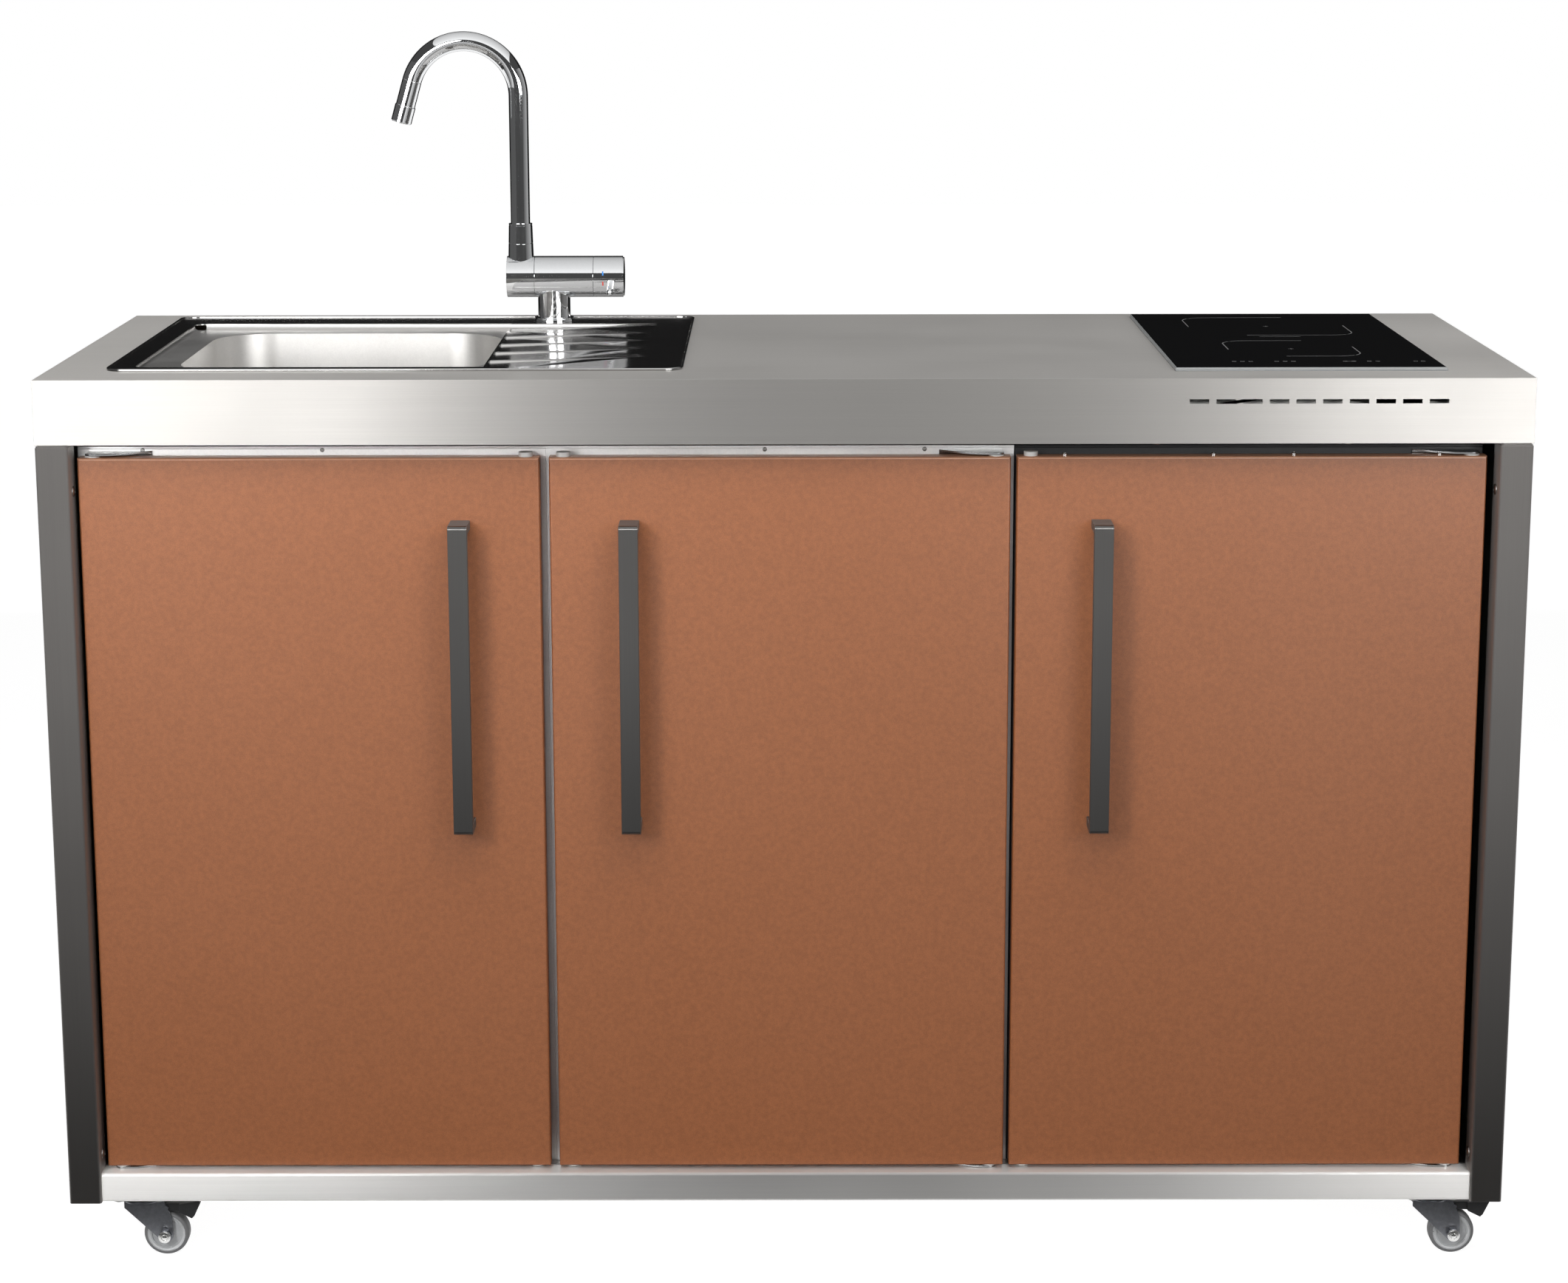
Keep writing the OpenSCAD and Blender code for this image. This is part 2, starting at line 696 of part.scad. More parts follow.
// Back panel on the outside of the back rail, with the fridge vents and the service holes
module back_panel() {
    h = z_fascia - panel_top_gap - z_frame - panel_low;
    w = 2 * post_x;
    color("#8d8882") difference() {
        translate([0, half_d - rail_recess, z_frame + panel_low]) union() {
            translate([-w / 2, 0, 0]) cube([w, panel_t, h]);
            for (x = [-1, 1])
                translate([x * (w / 2 - panel_t / 2), -back_fold / 2 + eps, (h + rail_h - panel_low) / 2])
                    cube([panel_t, back_fold, h - rail_h + panel_low], center = true);
        }
        for (i = [0 : 7], k = [-1, 1])
            translate([fridge_x + fridge_w / 2 + k * 85, half_d - rail_recess, z_rail + 50 + i * 16])
                rotate([90, 0, 0]) linear_extrude(20, center = true) rounded(140, 6, 2.9);
        for (i = [0 : 3], k = [-1, 1])
            translate([fridge_x + fridge_w / 2 + k * 85, half_d - rail_recess, z_cabinet - 70 + i * 16])
                rotate([90, 0, 0]) linear_extrude(20, center = true) rounded(140, 6, 2.9);
        translate([outlet_x, half_d, outlet_z]) rotate([90, 0, 0]) cylinder(d = pipe_d + 1, h = 40);
        for (x = [inlet_x, power_x]) translate([x, half_d, inlet_z])
            rotate([90, 0, 0]) cylinder(d = inlet_hole, h = 40);
        for (x = back_screw_x) translate([x, half_d - rail_recess, z_panel_screw])
            rotate([90, 0, 0]) screw_hole(4 * panel_t);
    }
}

// All the round-head screws of the frame: posts, panels and castor plates
module frame_screws() {
    color("#6f6d6a") {
        for (sx = [-1, 1], sy = [-1, 1], z = post_screw_z)
            translate([sx * post_x, sy * (half_d - post_screw_in), z])
                rotate([0, -90 * sx, 0]) screw(screw_head_d, screw_head_h, screw_l);
        for (x = [-1, 1], y = side_screw_y)
            translate([x * (half_w - rail_recess + panel_t), y, z_panel_screw])
                rotate([0, 90 * x, 0]) screw(screw_head_d - 2, screw_head_h, screw_l);
        for (x = back_screw_x)
            translate([x, half_d - rail_recess + panel_t, z_panel_screw])
                rotate([-90, 0, 0]) screw(screw_head_d - 2, screw_head_h, screw_l);
        for (sx = [-1, 1], sy = [-1, 1], x = [-1, 1], y = [-1, 1])
            translate([sx * castor_x + x * plate_screw, sy * castor_y + y * plate_screw, z_plate])
                rotate([180, 0, 0]) screw(2 * screw_d - 1, screw_head_h, plate_t + corner_t);
    }
}

// Sheet cabinet with folded front edges; the groove marks its hemmed top rail
module cabinet(x, open_top) {
    h = z_cabinet - z_rail;
    translate([x, y_cabinet, z_rail]) difference() {
        cube([module_w, cabinet_d, h]);
        translate([cabinet_t, cabinet_t, cabinet_t])
            cube([module_w - 2 * cabinet_t, cabinet_d - 2 * cabinet_t, h - 2 * cabinet_t]);
        translate([cabinet_lip, -1, cabinet_lip])
            cube([module_w - 2 * cabinet_lip, cabinet_t + 2, h - cabinet_lip - cabinet_rail]);
        translate([-1, -1, h - 2.8]) cube([module_w + 2, 1.8, 1.4]);
        if (open_top)
            translate([cabinet_rail, cabinet_rail, h - 2 * cabinet_t])
                cube([module_w - 2 * cabinet_rail, cabinet_d - 2 * cabinet_rail, 4 * cabinet_t]);
    }
}

// Cabinet under the sink, open at the top for the bowl and at the back for the pipe
module left_cabinet() {
    color("#d7d8d8") difference() {
        cabinet(left_x, true);
        translate([outlet_x, y_fridge_back + 5, outlet_z])
            rotate([90, 0, 0]) cylinder(d = pipe_d + 4, h = 10);
    }
}

// Cabinet with a shelf, and the four pins that carry it
module middle_cabinet() {
    color("#d7d8d8") {
        cabinet(middle_x, false);
        for (s = [0, 1], y = [0.18, 0.82])
            translate([middle_x + cabinet_t - eps + s * (module_w - 2 * cabinet_t + 2 * eps),
                y_cabinet + y * cabinet_d, z_rail + shelf_z - shelf_pin_d / 2])
                rotate([0, s == 0 ? 90 : -90, 0]) cylinder(d = shelf_pin_d, h = shelf_play + 12);
    }
}

// Shelf with turned-down edges
module cabinet_shelf() {
    w = module_w - 2 * cabinet_t - 2 * shelf_play;
    d = cabinet_d - 2 * cabinet_t - 40;
    color("#dcdddd") translate([middle_x + module_w / 2, y_cabinet + cabinet_d - cabinet_t - d / 2,
        z_rail + shelf_z]) difference() {
        translate([-w / 2, -d / 2, 0]) cube([w, d, shelf_h]);
        translate([-w / 2 + cabinet_t, -d / 2 + cabinet_t, -cabinet_t])
            cube([w - 2 * cabinet_t, d - 2 * cabinet_t, shelf_h]);
    }
}

// Pressed sink: rolled bead, flat rim, shallow well, deep bowl and ribbed drainer
module sink() {
    color("#b8b5b0") {
        difference() {
            union() {
                translate([sink_x, sink_y, z_top])
                    linear_extrude(sink_t) rounded(sink_w, sink_d, sink_r);
                rim_bead();
                intersection() {
                    translate([sink_x, well_y, z_rim]) tray(well_w + 2 * sink_t,
                        well_d + 2 * sink_t, well_h + sink_t, well_r + sink_t, well_h);
                    above_well(sink_t);
                }
                translate([bowl_x, bowl_y, z_rim])
                    tray(bowl_w + 2 * sink_t, bowl_d + 2 * sink_t, bowl_h + sink_t,
                        bowl_r + sink_t, bowl_floor_r + sink_t);
            }
            intersection() {
                translate([sink_x, well_y, z_rim + 1])
                    tray(well_w, well_d, well_h + 1, well_r, well_h - sink_t);
                above_well(0);
            }
            translate([bowl_x, bowl_y, z_rim + 1])
                tray(bowl_w, bowl_d, bowl_h + 1, bowl_r, bowl_floor_r);
            translate([bowl_x, bowl_y, z_bowl]) cylinder(d = waste_hole, h = 20, center = true);
            translate([tap_x, tap_y, z_rim]) cylinder(d = tap_hole, h = 20, center = true);
        }
        drainer_ribs();
    }
}

// Ends of the drainer floor at the bowl and at the rim, to which it rises one unit per drain_run
drain_low_x = bowl_x + bowl_w / 2;
drain_x = sink_x + well_w / 2 - drain_end;
drain_run = (drain_x - drain_low_x) / well_h;
rib_x = drain_low_x + rib_r + 1;

// All that lies over the well floor lowered by drop: level at the bowl, rising along the drainer
module above_well(drop) {
    low = well_h + 1;
    translate([0, well_y, z_rim - drop]) rotate([90, 0, 0]) linear_extrude(sink_d, center = true)
        polygon([[sink_x - sink_w, -low], [drain_x - low * drain_run, -low], [drain_x, 0],
            [drain_x, 4], [sink_x - sink_w, 4]]);
}

// Ribs pressed up from the drainer floor, each tapering to a point where it meets the floor
module drainer_ribs() {
    intersection() {
        for (i = [0 : rib_count - 1]) {
            in = rib_end + ((i == 0 || i == rib_count - 1) ? 0 : rib_step);
            run = sink_x + well_w / 2 - in - rib_x;
            rise = run / drain_run - rib_h;
            translate([rib_x, well_y + rib_shift + (i - (rib_count - 1) / 2) * rib_pitch,
                z_rim - (drain_x - rib_x) / drain_run + rib_h - rib_r])
                rotate([0, 90 - atan(rise / run), 0]) rotate_extrude() {
                    square([rib_r, run + 2]);
                    intersection() {
                        circle(rib_r);
                        translate([0, -rib_r]) square(rib_r);
                    }
                }
        }
        above_well(sink_t / 2);
    }
}

// Rounded bead along the edge of the sink rim
module rim_bead() {
    w = sink_w - 2 * bead_r;
    d = sink_d - 2 * bead_r;
    r = sink_r - bead_r;
    translate([sink_x, sink_y, z_top + bead_r]) {
        for (y = [-1, 1]) translate([0, y * d / 2, 0])
            rotate([0, 90, 0]) cylinder(r = bead_r, h = w - 2 * r, center = true);
        for (x = [-1, 1]) translate([x * w / 2, 0, 0])
            rotate([90, 0, 0]) cylinder(r = bead_r, h = d - 2 * r, center = true);
        for (x = [0, 1], y = [0, 1])
            translate([(x - 0.5) * (w - 2 * r), (y - 0.5) * (d - 2 * r), 0])
                rotate([0, 0, x == 1 ? (y == 1 ? 0 : 270) : (y == 1 ? 90 : 180)])
                    rotate_extrude(angle = 90) translate([r, 0]) circle(bead_r);
    }
}

// Waste fitting: flange in the bowl, cup below it, lock nut and threaded tail
module sink_waste() {
    wall = 1.5;
    r = waste_hole / 2 - 0.5;
    color("#c4c2be") translate([bowl_x, bowl_y, 0]) difference() {
        union() {
            translate([0, 0, z_bowl]) cylinder(d = waste_d, h = wall);
            translate([0, 0, z_cup]) cylinder(r = r, h = waste_h + eps);
            translate([0, 0, z_bowl - sink_t - 4]) cylinder(d = waste_d - 4, h = 4);
            translate([0, 0, z_cup - 16]) cylinder(d = pipe_d - 4, h = 17);
        }
        translate([0, 0, z_cup + wall]) cylinder(r = r - wall, h = waste_h + 10);
        translate([0, 0, z_cup - 20]) cylinder(d = pipe_d - 8, h = 40);
    }
}

// Perforated basket with a knob, resting in the waste cup
module strainer_basket() {
    r = waste_hole / 2 - 3;
    z = z_cup + 1.5 + seat_gap;
    color("#d2d0cc") translate([bowl_x, bowl_y, z]) {
        difference() {
            cylinder(r = r, h = waste_h - 8);
            translate([0, 0, 1.2]) cylinder(r = r - 1.2, h = waste_h);
            for (ring = [0, 1], i = [0 : 7 + 4 * ring])
                rotate([0, 0, i * 360 / (8 + 4 * ring)]) translate([16 + 13 * ring, 0, -1])
                    cylinder(d = 5, h = 4);
        }
        cylinder(d = 6, h = waste_h - 6);
        translate([0, 0, waste_h - 8]) cylinder(d = 16, h = 5);
    }
}

// Bottle trap: tail pipe, bottle with a ribbed nut, and the pipe to the back of the unit
module drain_trap() {
    bottle = trap_d / 2;
    color("#e9e9e7") {
        translate([bowl_x, bowl_y, z_trap - 1]) difference() {
            cylinder(d = pipe_d, h = tail_l + 1);
            translate([0, 0, -1]) cylinder(d = pipe_d - 4 + 0.2, h = tail_l + 3);
        }
        difference() {
            union() {
                translate([bowl_x, bowl_y, z_trap - trap_h]) rotate_extrude() {
                    square([bottle - 8, trap_h]);
                    translate([0, 8]) square([bottle, trap_h - 8]);
                    translate([bottle - 8, 8]) circle(8);
                }
                translate([bowl_x, bowl_y, z_trap - 12]) cylinder(d = trap_d + 8, h = 12, $fn = 12);
                translate([bowl_x, bowl_y, outlet_z]) rotate([-90, 0, 0])
                    cylinder(d = pipe_d, h = half_d - bowl_y);
            }
            translate([bowl_x, bowl_y, z_trap - trap_h + 3]) cylinder(r = bottle - 3, h = trap_h - 6);
            translate([bowl_x, bowl_y, z_trap - 4]) cylinder(d = pipe_d - 3.8, h = 10);
            translate([bowl_x, bowl_y + 4, outlet_z]) rotate([-90, 0, 0])
                cylinder(d = pipe_d - 4, h = half_d - bowl_y);
        }
    }
}

// Tap foot, column, fixed middle of the barrel with its two spigots, threaded shank and nut
module tap_body() {
    color("#cfd0d0") {
        difference() {
            union() {
                translate([tap_x, tap_y, z_rim]) rotate_extrude() {
                    square([tap_foot_d / 2 - 1, 5]);
                    square([tap_foot_d / 2, 3.5]);
                }
                translate([tap_x, tap_y, z_rim]) cylinder(d = tap_column_d, h = tap_axis_h);
                translate([barrel_x, tap_y, z_tap]) rotate([0, 90, 0])
                    cylinder(d = barrel_d, h = barrel_l, center = true);
                translate([barrel_x, tap_y, z_tap]) rotate([0, 90, 0])
                    cylinder(d = spigot_d, h = barrel_l + 2 * spigot_l, center = true);
                translate([tap_x, tap_y, z_rim - shank_l]) cylinder(d = tap_shank_d, h = shank_l + 1);
            }
            translate([tap_x, tap_y, z_rim - shank_l - 1]) cylinder(d = tap_shank_d - 8, h = shank_l);
        }
        difference() {
            translate([tap_x, tap_y, z_rim - sink_t - 8]) cylinder(d = tap_foot_d - 2, h = 8, $fn = 6);
            translate([tap_x, tap_y, z_rim - 30]) cylinder(d = tap_shank_d + 0.2, h = 40);
        }
    }
}
shank_l = 55;
spigot_l = 26;

// Folding end of the barrel with the tapered collar of the spout
module tap_fold() {
    color("#d4d5d5") difference() {
        union() {
            translate([fold_x, tap_y, z_tap]) rotate([0, 90, 0])
                cylinder(d = barrel_d, h = fold_l - seam, center = true);
            translate([fold_x, tap_y, z_tap + spigot_d / 2 + 4])
                cylinder(d1 = collar_d, d2 = collar_top_d, h = z_collar - z_tap - spigot_d / 2 - 4);
        }
        translate([fold_x + fold_l / 2 + 1, tap_y, z_tap]) rotate([0, -90, 0])
            cylinder(d = spigot_d + 2 * tap_play, h = spigot_l + 1 + seam);
        translate([fold_x, tap_y, z_stem])
            cylinder(d = spout_d + 2 * tap_play, h = 2 * (z_collar - z_stem));
        for (z = [z_collar - 2.5, z_collar - 24]) translate([fold_x, tap_y, z]) difference() {
            cylinder(d = collar_d + 4, h = 0.8);
            translate([0, 0, -1]) cylinder(d = collar_top_d - 1, h = 3);
        }
    }
}
z_stem = z_tap + spigot_d / 2 + 5;
spout_bore = spout_d / 2 - spout_t;

// Spout: stem in the collar, straight tube and bend over the bowl
module tap_spout() {
    color("#d8d9d9") {
        translate([fold_x, tap_y, z_stem + seam]) difference() {
            cylinder(d = spout_d, h = z_bend - z_stem - seam);
            translate([0, 0, -1]) cylinder(r = spout_bore, h = z_bend - z_stem + 2);
        }
        translate([fold_x - spout_r, tap_y, z_bend]) rotate([90, 0, 0])
            rotate_extrude(angle = spout_turn) translate([spout_r, 0]) difference() {
                circle(d = spout_d);
                circle(r = spout_bore);
            }
    }
}

// Straight end of the spout with its aerator, on a short spigot in the bend
module tap_aerator() {
    color("#c3c4c4") translate([fold_x - spout_r, tap_y, z_bend]) rotate([90, 0, 0])
        rotate([0, 0, spout_turn]) translate([spout_r, 0, 0]) rotate([-90, 0, 0]) difference() {
            rotate_extrude() {
                translate([0, -3]) square([spout_bore - 0.2, 4]);
                square([spout_d / 2, spout_end + 1]);
                translate([0, spout_end]) square([aerator_d / 2 - 1, aerator_l]);
                translate([0, spout_end]) square([aerator_d / 2, aerator_l - 1]);
            }
            translate([0, 0, -4]) cylinder(d = spout_d - 6, h = spout_end + aerator_l + 5);
        }
}

// Mixer cap on the right end of the barrel, with the hole for its lever
module tap_cap() {
    color("#d4d5d5") difference() {
        translate([cap_x, tap_y, z_tap]) rotate([0, 90, 0]) rotate_extrude() {
            translate([0, -cap_l / 2 + seam / 2]) square([barrel_d / 2, cap_l - seam - 1.5]);
            translate([0, -cap_l / 2 + seam / 2]) square([barrel_d / 2 - 1.5, cap_l - seam]);
        }
        translate([cap_x - cap_l / 2 - 1, tap_y, z_tap]) rotate([0, 90, 0])
            cylinder(d = spigot_d + 2 * tap_play, h = spigot_l + 1 + seam);
        lever_place() translate([0, 0, spigot_d / 2 + 2]) cylinder(d = lever_d + 0.02, h = 40);
    }
}

// Frame of the lever: its axis starts on the barrel axis and points to the front
module lever_place() {
    translate([cap_x + 3, tap_y, z_tap]) rotate([90 + lever_tilt, 0, 0]) children();
}

// Pin lever of the mixer, with a domed end
module tap_lever() {
    color("#dcdddd") lever_place() {
        translate([0, 0, spigot_d / 2 + 2 + 0.02])
            cylinder(d = lever_d, h = (barrel_d - spigot_d) / 2 - 2 + lever_l);
        translate([0, 0, barrel_d / 2 + lever_l]) sphere(d = lever_d);
    }
}

// Hob glass with a bevelled edge
module hob_glass() {
    color("#17171a") translate([hob_x, hob_y, z_top]) intersection() {
        rotate([90, 0, 0]) linear_extrude(hob_d, center = true) glass_section(hob_w);
        rotate([90, 0, 90]) linear_extrude(hob_w, center = true) glass_section(hob_d);
    }
}
module glass_section(w) {
    polygon([[-w / 2, 0], [w / 2, 0], [w / 2, glass_t - glass_bevel], [w / 2 - glass_bevel, glass_t],
        [-w / 2 + glass_bevel, glass_t], [-w / 2, glass_t - glass_bevel]]);
}

// Steel case of the hob, hanging in the worktop, with a stand for each coil
module hob_case() {
    w = hob_w - 2 * glass_edge - 4;
    d = hob_d - 2 * glass_edge - 4;
    wall = 1.5;
    color("#7b7b7d") translate([hob_x, hob_y, z_top - hob_case_h]) {
        difference() {
            linear_extrude(hob_case_h) rounded(w, d, 2.5);
            translate([0, 0, wall]) linear_extrude(hob_case_h) rounded(w - 2 * wall, d - 2 * wall, 1);
            for (i = [0 : vent_count - 1])
                translate([(i - (vent_count - 1) / 2) * 24, -d / 2, hob_case_h - vent_drop])
                    cube([16, 4 * wall, 10], center = true);
        }
        for (y = [-1, 1]) translate([0, y * coil_gap / 2, wall - eps])
            cylinder(d = 40, h = hob_case_h - wall - coil_t - 0.5);
    }
}
coil_t = 8;

// Two flat induction coils under the glass
module hob_coils() {
    color("#b87333") for (y = [-1, 1])
        translate([hob_x, hob_y + y * coil_gap / 2, z_top - coil_t - 0.5]) difference() {
            cylinder(d = y > 0 ? coil_back_d : coil_front_d, h = coil_t);
            translate([0, 0, 2]) cylinder(d = 36, h = coil_t);
        }
}

// Side section of the fridge cavity, front to back and up, set in by i; the front stays open
module cavity_section(i) {
    front = y_cabinet - (i > 0 ? 1 : 0);
    polygon([[front, z_cavity + i], [y_step - i, z_cavity + i], [y_step - i, z_step + i],
        [y_fridge_back - insulation - i, z_step + i], [y_fridge_back - insulation - i, z_cavity_top - i],
        [front, z_cavity_top - i]]);
}

// Insulated fridge body with the stepped cavity and the space for the compressor
module fridge_body() {
    h = z_cabinet - z_rail;
    color("#3a3b3d") difference() {
        translate([fridge_x, y_cabinet, z_rail]) cube([fridge_w, cabinet_d, h]);
        translate([cavity_x, -1, 0]) rotate([90, 0, 90]) linear_extrude(cavity_w) cavity_section(0);
        translate([cavity_x, 0, 0]) rotate([90, 0, 90]) linear_extrude(cavity_w) cavity_section(0);
        translate([fridge_x + 20, y_fridge_back - machine_d, z_rail - 1])
            cube([fridge_w - 40, machine_d + 1, machine_h + 1]);
        translate([fridge_x - 1, y_cabinet - 1, z_cabinet - 2.8]) cube([fridge_w + 2, 1.8, 1.4]);
    }
}

// Heights of the glass shelves of the fridge
function shelf_at(i) = z_step + (i + 0.3) * (z_cavity_top - z_step) / fridge_shelf_count;
y_shelf = y_cabinet + rack_d + 14;
knob_z = z_cavity_top - liner_t - knob_d / 2 - 4;
knob_y = y_cabinet + rack_d + 44;

// White inner liner with shelf ledges and the thermostat housing under its ceiling
module fridge_liner() {
    color("#eef0f0") difference() {
        union() {
            difference() {
                translate([cavity_x, 0, 0]) rotate([90, 0, 90])
                    linear_extrude(cavity_w) cavity_section(0);
                translate([cavity_x + liner_t, 0, 0]) rotate([90, 0, 90])
                    linear_extrude(cavity_w - 2 * liner_t) cavity_section(liner_t);
            }
            for (i = [0 : fridge_shelf_count - 1], s = [0, 1])
                translate([cavity_x + liner_t - eps
                    + s * (cavity_w - 2 * liner_t - ledge_in + 2 * eps), y_shelf, shelf_at(i) - 5])
                    cube([ledge_in, y_fridge_back - insulation - liner_t - y_shelf + eps, 5]);
            translate([cavity_x + cavity_w / 2 - 60, knob_y, knob_z - knob_d / 2])
                cube([120, 70, knob_d + 4 + eps]);
        }
        translate([cavity_x + cavity_w / 2, knob_y, knob_z]) rotate([-90, 0, 0])
            cylinder(r = 4 + tap_play, h = 20, center = true);
    }
}

// Glass shelves on the ledges
module fridge_shelves() {
    color("#b9d3d2") for (i = [0 : fridge_shelf_count - 1])
        translate([cavity_x + liner_t + 0.5, y_shelf, shelf_at(i)])
            cube([cavity_w - 2 * liner_t - 1, y_fridge_back - insulation - liner_t - 1 - y_shelf,
                fridge_shelf_t]);
}

// Thermostat knob with a grip bar and its stem
module thermostat_knob() {
    color("#f2f2f0") translate([cavity_x + cavity_w / 2, knob_y - 0.3, knob_z]) rotate([90, 0, 0]) {
        cylinder(d = knob_d, h = 5);
        intersection() {
            cylinder(d = knob_d - 2, h = 14);
            translate([0, 0, 7]) cube([9, knob_d, 14], center = true);
        }
        translate([0, 0, -8]) cylinder(r = 4, h = 9);
    }
}

// Rectangular door seal between the fridge door and its body
module fridge_gasket() {
    w = fridge_door_w - 2 * liner_in;
    h = door_h - 2 * liner_in;
    color("#55585a") translate([right_door_x + fridge_door_w / 2, y_door_back, z_door + door_h / 2])
        rotate([-90, 0, 0]) linear_extrude(door_back_gap - seat_gap) difference() {
            rounded(w, h, 4);
            rounded(w - 20, h - 20, 2);
        }
}

// Compressor on rubber feet
module compressor() {
    r = compressor_d / 2;
    color("#26282a") translate([fridge_x + fridge_w / 2 - 60, y_fridge_back - machine_d / 2, z_rail]) {
        translate([0, 0, 14]) rotate_extrude() {
            square([r - 30, compressor_h - 14]);
            translate([0, 30]) square([r, compressor_h - 74]);
            translate([r - 30, 30]) circle(30);
            translate([r - 30, compressor_h - 44]) circle(30);
        }
        translate([0, 0, 12]) cube([compressor_d + 40, 90, 4], center = true);
        for (x = [-1, 1], y = [-1, 1]) translate([x * (r + 8), y * 35, 0]) cylinder(d = 20, h = 12);
    }
}

// Connectors in the back panel: water inlet and round power inlet, each with its nut inside
module service_inlets() {
    color("#bfae7a") for (x = [inlet_x, power_x])
        translate([x, half_d - rail_recess + panel_t, inlet_z]) rotate([90, 0, 0]) {
            difference() {
                union() {
                    translate([0, 0, -inlet_flange]) cylinder(d = inlet_hole + 12, h = inlet_flange);
                    cylinder(d = inlet_hole - 0.4, h = inlet_l);
                }
                translate([0, 0, -inlet_flange - 1]) cylinder(d = inlet_bore, h = inlet_depth + 1);
            }
            translate([0, 0, panel_t]) difference() {
                cylinder(d = inlet_hole + 10, h = 6, $fn = 6);
                translate([0, 0, -1]) cylinder(d = inlet_hole - 0.2, h = 10);
            }
        }
}

// Door: folded pan with rounded front edges, returns at the back and holes for the pivot bushes
module door(x, w, pivot_x) {
    plug_x = 2 * (x + w / 2) - pivot_x;
    color("#a3694a") difference() {
        translate([x + w / 2, y_door, z_door]) intersection() {
            linear_extrude(door_h) door_section(w);
            translate([-w / 2, 0, door_h / 2]) rotate([90, 0, 90])
                linear_extrude(w) rotate([0, 0, -90]) mirror([0, 0]) door_side();
        }
        translate([x + door_skin, y_door + door_skin, z_door + door_skin])
            cube([w - 2 * door_skin, door_t - 2 * door_skin, door_h - 2 * door_skin]);
        translate([x + liner_in + 8, y_door + door_skin, z_door + liner_in + 8])
            cube([w - 2 * liner_in - 16, door_t, door_h - 2 * liner_in - 16]);
        for (px = [pivot_x, plug_x], z = [z_door, z_door_top])
            translate([px, y_pivot, z]) cylinder(d = bush_hole, h = 6 * door_skin, center = true);
    }
}
bush_hole = 10;

// Plan of a door: rounded at the two front corners
module door_section(w) {
    translate([-w / 2, door_r]) square([w, door_t - door_r]);
    translate([-w / 2 + door_r, 0]) square([w - 2 * door_r, door_t]);
    for (x = [-1, 1]) translate([x * (w / 2 - door_r), door_r]) circle(door_r);
}

// Side section of a door, rounded at the top and bottom front corners
module door_side() {
    rotate([0, 0, 90]) union() {
        translate([door_r, -door_h / 2]) square([door_t - door_r, door_h]);
        translate([0, -door_h / 2 + door_r]) square([door_t, door_h - 2 * door_r]);
        for (z = [-1, 1]) translate([door_r, z * (door_h / 2 - door_r)]) circle(door_r);
    }
}
module left_door() door(left_door_x, door_w, left_pivot_x);
module middle_door() door(middle_door_x, door_w, middle_pivot_x);
module right_door() door(right_door_x, fridge_door_w, right_pivot_x);

// Inner pan of a cabinet door: a raised tray behind the door
module door_pan(x, w) {
    depth = door_back_gap - seat_gap;
    color("#dfe0e0") translate([x + liner_in, y_door_back, z_door + liner_in]) difference() {
        cube([w - 2 * liner_in, depth, door_h - 2 * liner_in]);
        translate([door_skin, -1, door_skin])
            cube([w - 2 * liner_in - 2 * door_skin, depth + 1 - door_skin,
                door_h - 2 * liner_in - 2 * door_skin]);
    }
}
module left_door_liner() door_pan(left_door_x, door_w);
module middle_door_liner() door_pan(middle_door_x, door_w);

// Inner panel of the fridge door with three moulded bottle racks
module right_door_liner() {
    in = liner_in + 11;
    w = fridge_door_w - 2 * in;
    h = door_h - 2 * in;
    rack_w = cavity_w - 2 * liner_t - 60;
    color("#eef0f0") translate([right_door_x + in, y_door_back, z_door + in]) {
        cube([w, 3, h]);
        translate([10 - eps, 3 - eps, 10]) difference() {
            cube([w - 20, door_back_gap - 2, h - 20]);
            translate([3, -1, 3]) cube([w - 26, door_back_gap + 2, h - 26]);
        }
        for (i = [0 : 2]) translate([(w - rack_w) / 2, 3 - eps, rack_z + i * rack_pitch]) difference() {
            cube([rack_w, rack_d, rack_h]);
            translate([2.5, 2.5, 2.5]) cube([rack_w - 5, rack_d - 5, rack_h]);
        }
    }
}

// Flat bar handle with two bent legs; x = middle of the bar
module handle(x) {
    z = z_door_top - handle_drop - handle_l;
    color("#4f4c48") translate([x - handle_w / 2, y_door, z]) rotate([90, 0, 90]) linear_extrude(handle_w)
        difference() {
            union() {
                translate([-handle_out + handle_r, 0]) square([handle_out - handle_r, handle_l]);
                translate([-handle_out, handle_r]) square([handle_out, handle_l - 2 * handle_r]);
                for (y = [handle_r, handle_l - handle_r])
                    translate([-handle_out + handle_r, y]) circle(handle_r);
            }
            translate([-handle_out + handle_t + 1, handle_t]) square([handle_out, handle_l - 2 * handle_t]);
            translate([-handle_out + handle_t, handle_t + 1])
                square([handle_out, handle_l - 2 * handle_t - 2]);
            for (y = [handle_t + 1, handle_l - handle_t - 1])
                translate([-handle_out + handle_t + 1, y]) circle(1);
        }
}
module left_handle() handle(left_door_x + door_w - handle_in);
module middle_handle() handle(middle_door_x + handle_in);
module right_handle() handle(right_door_x + handle_in + 5);

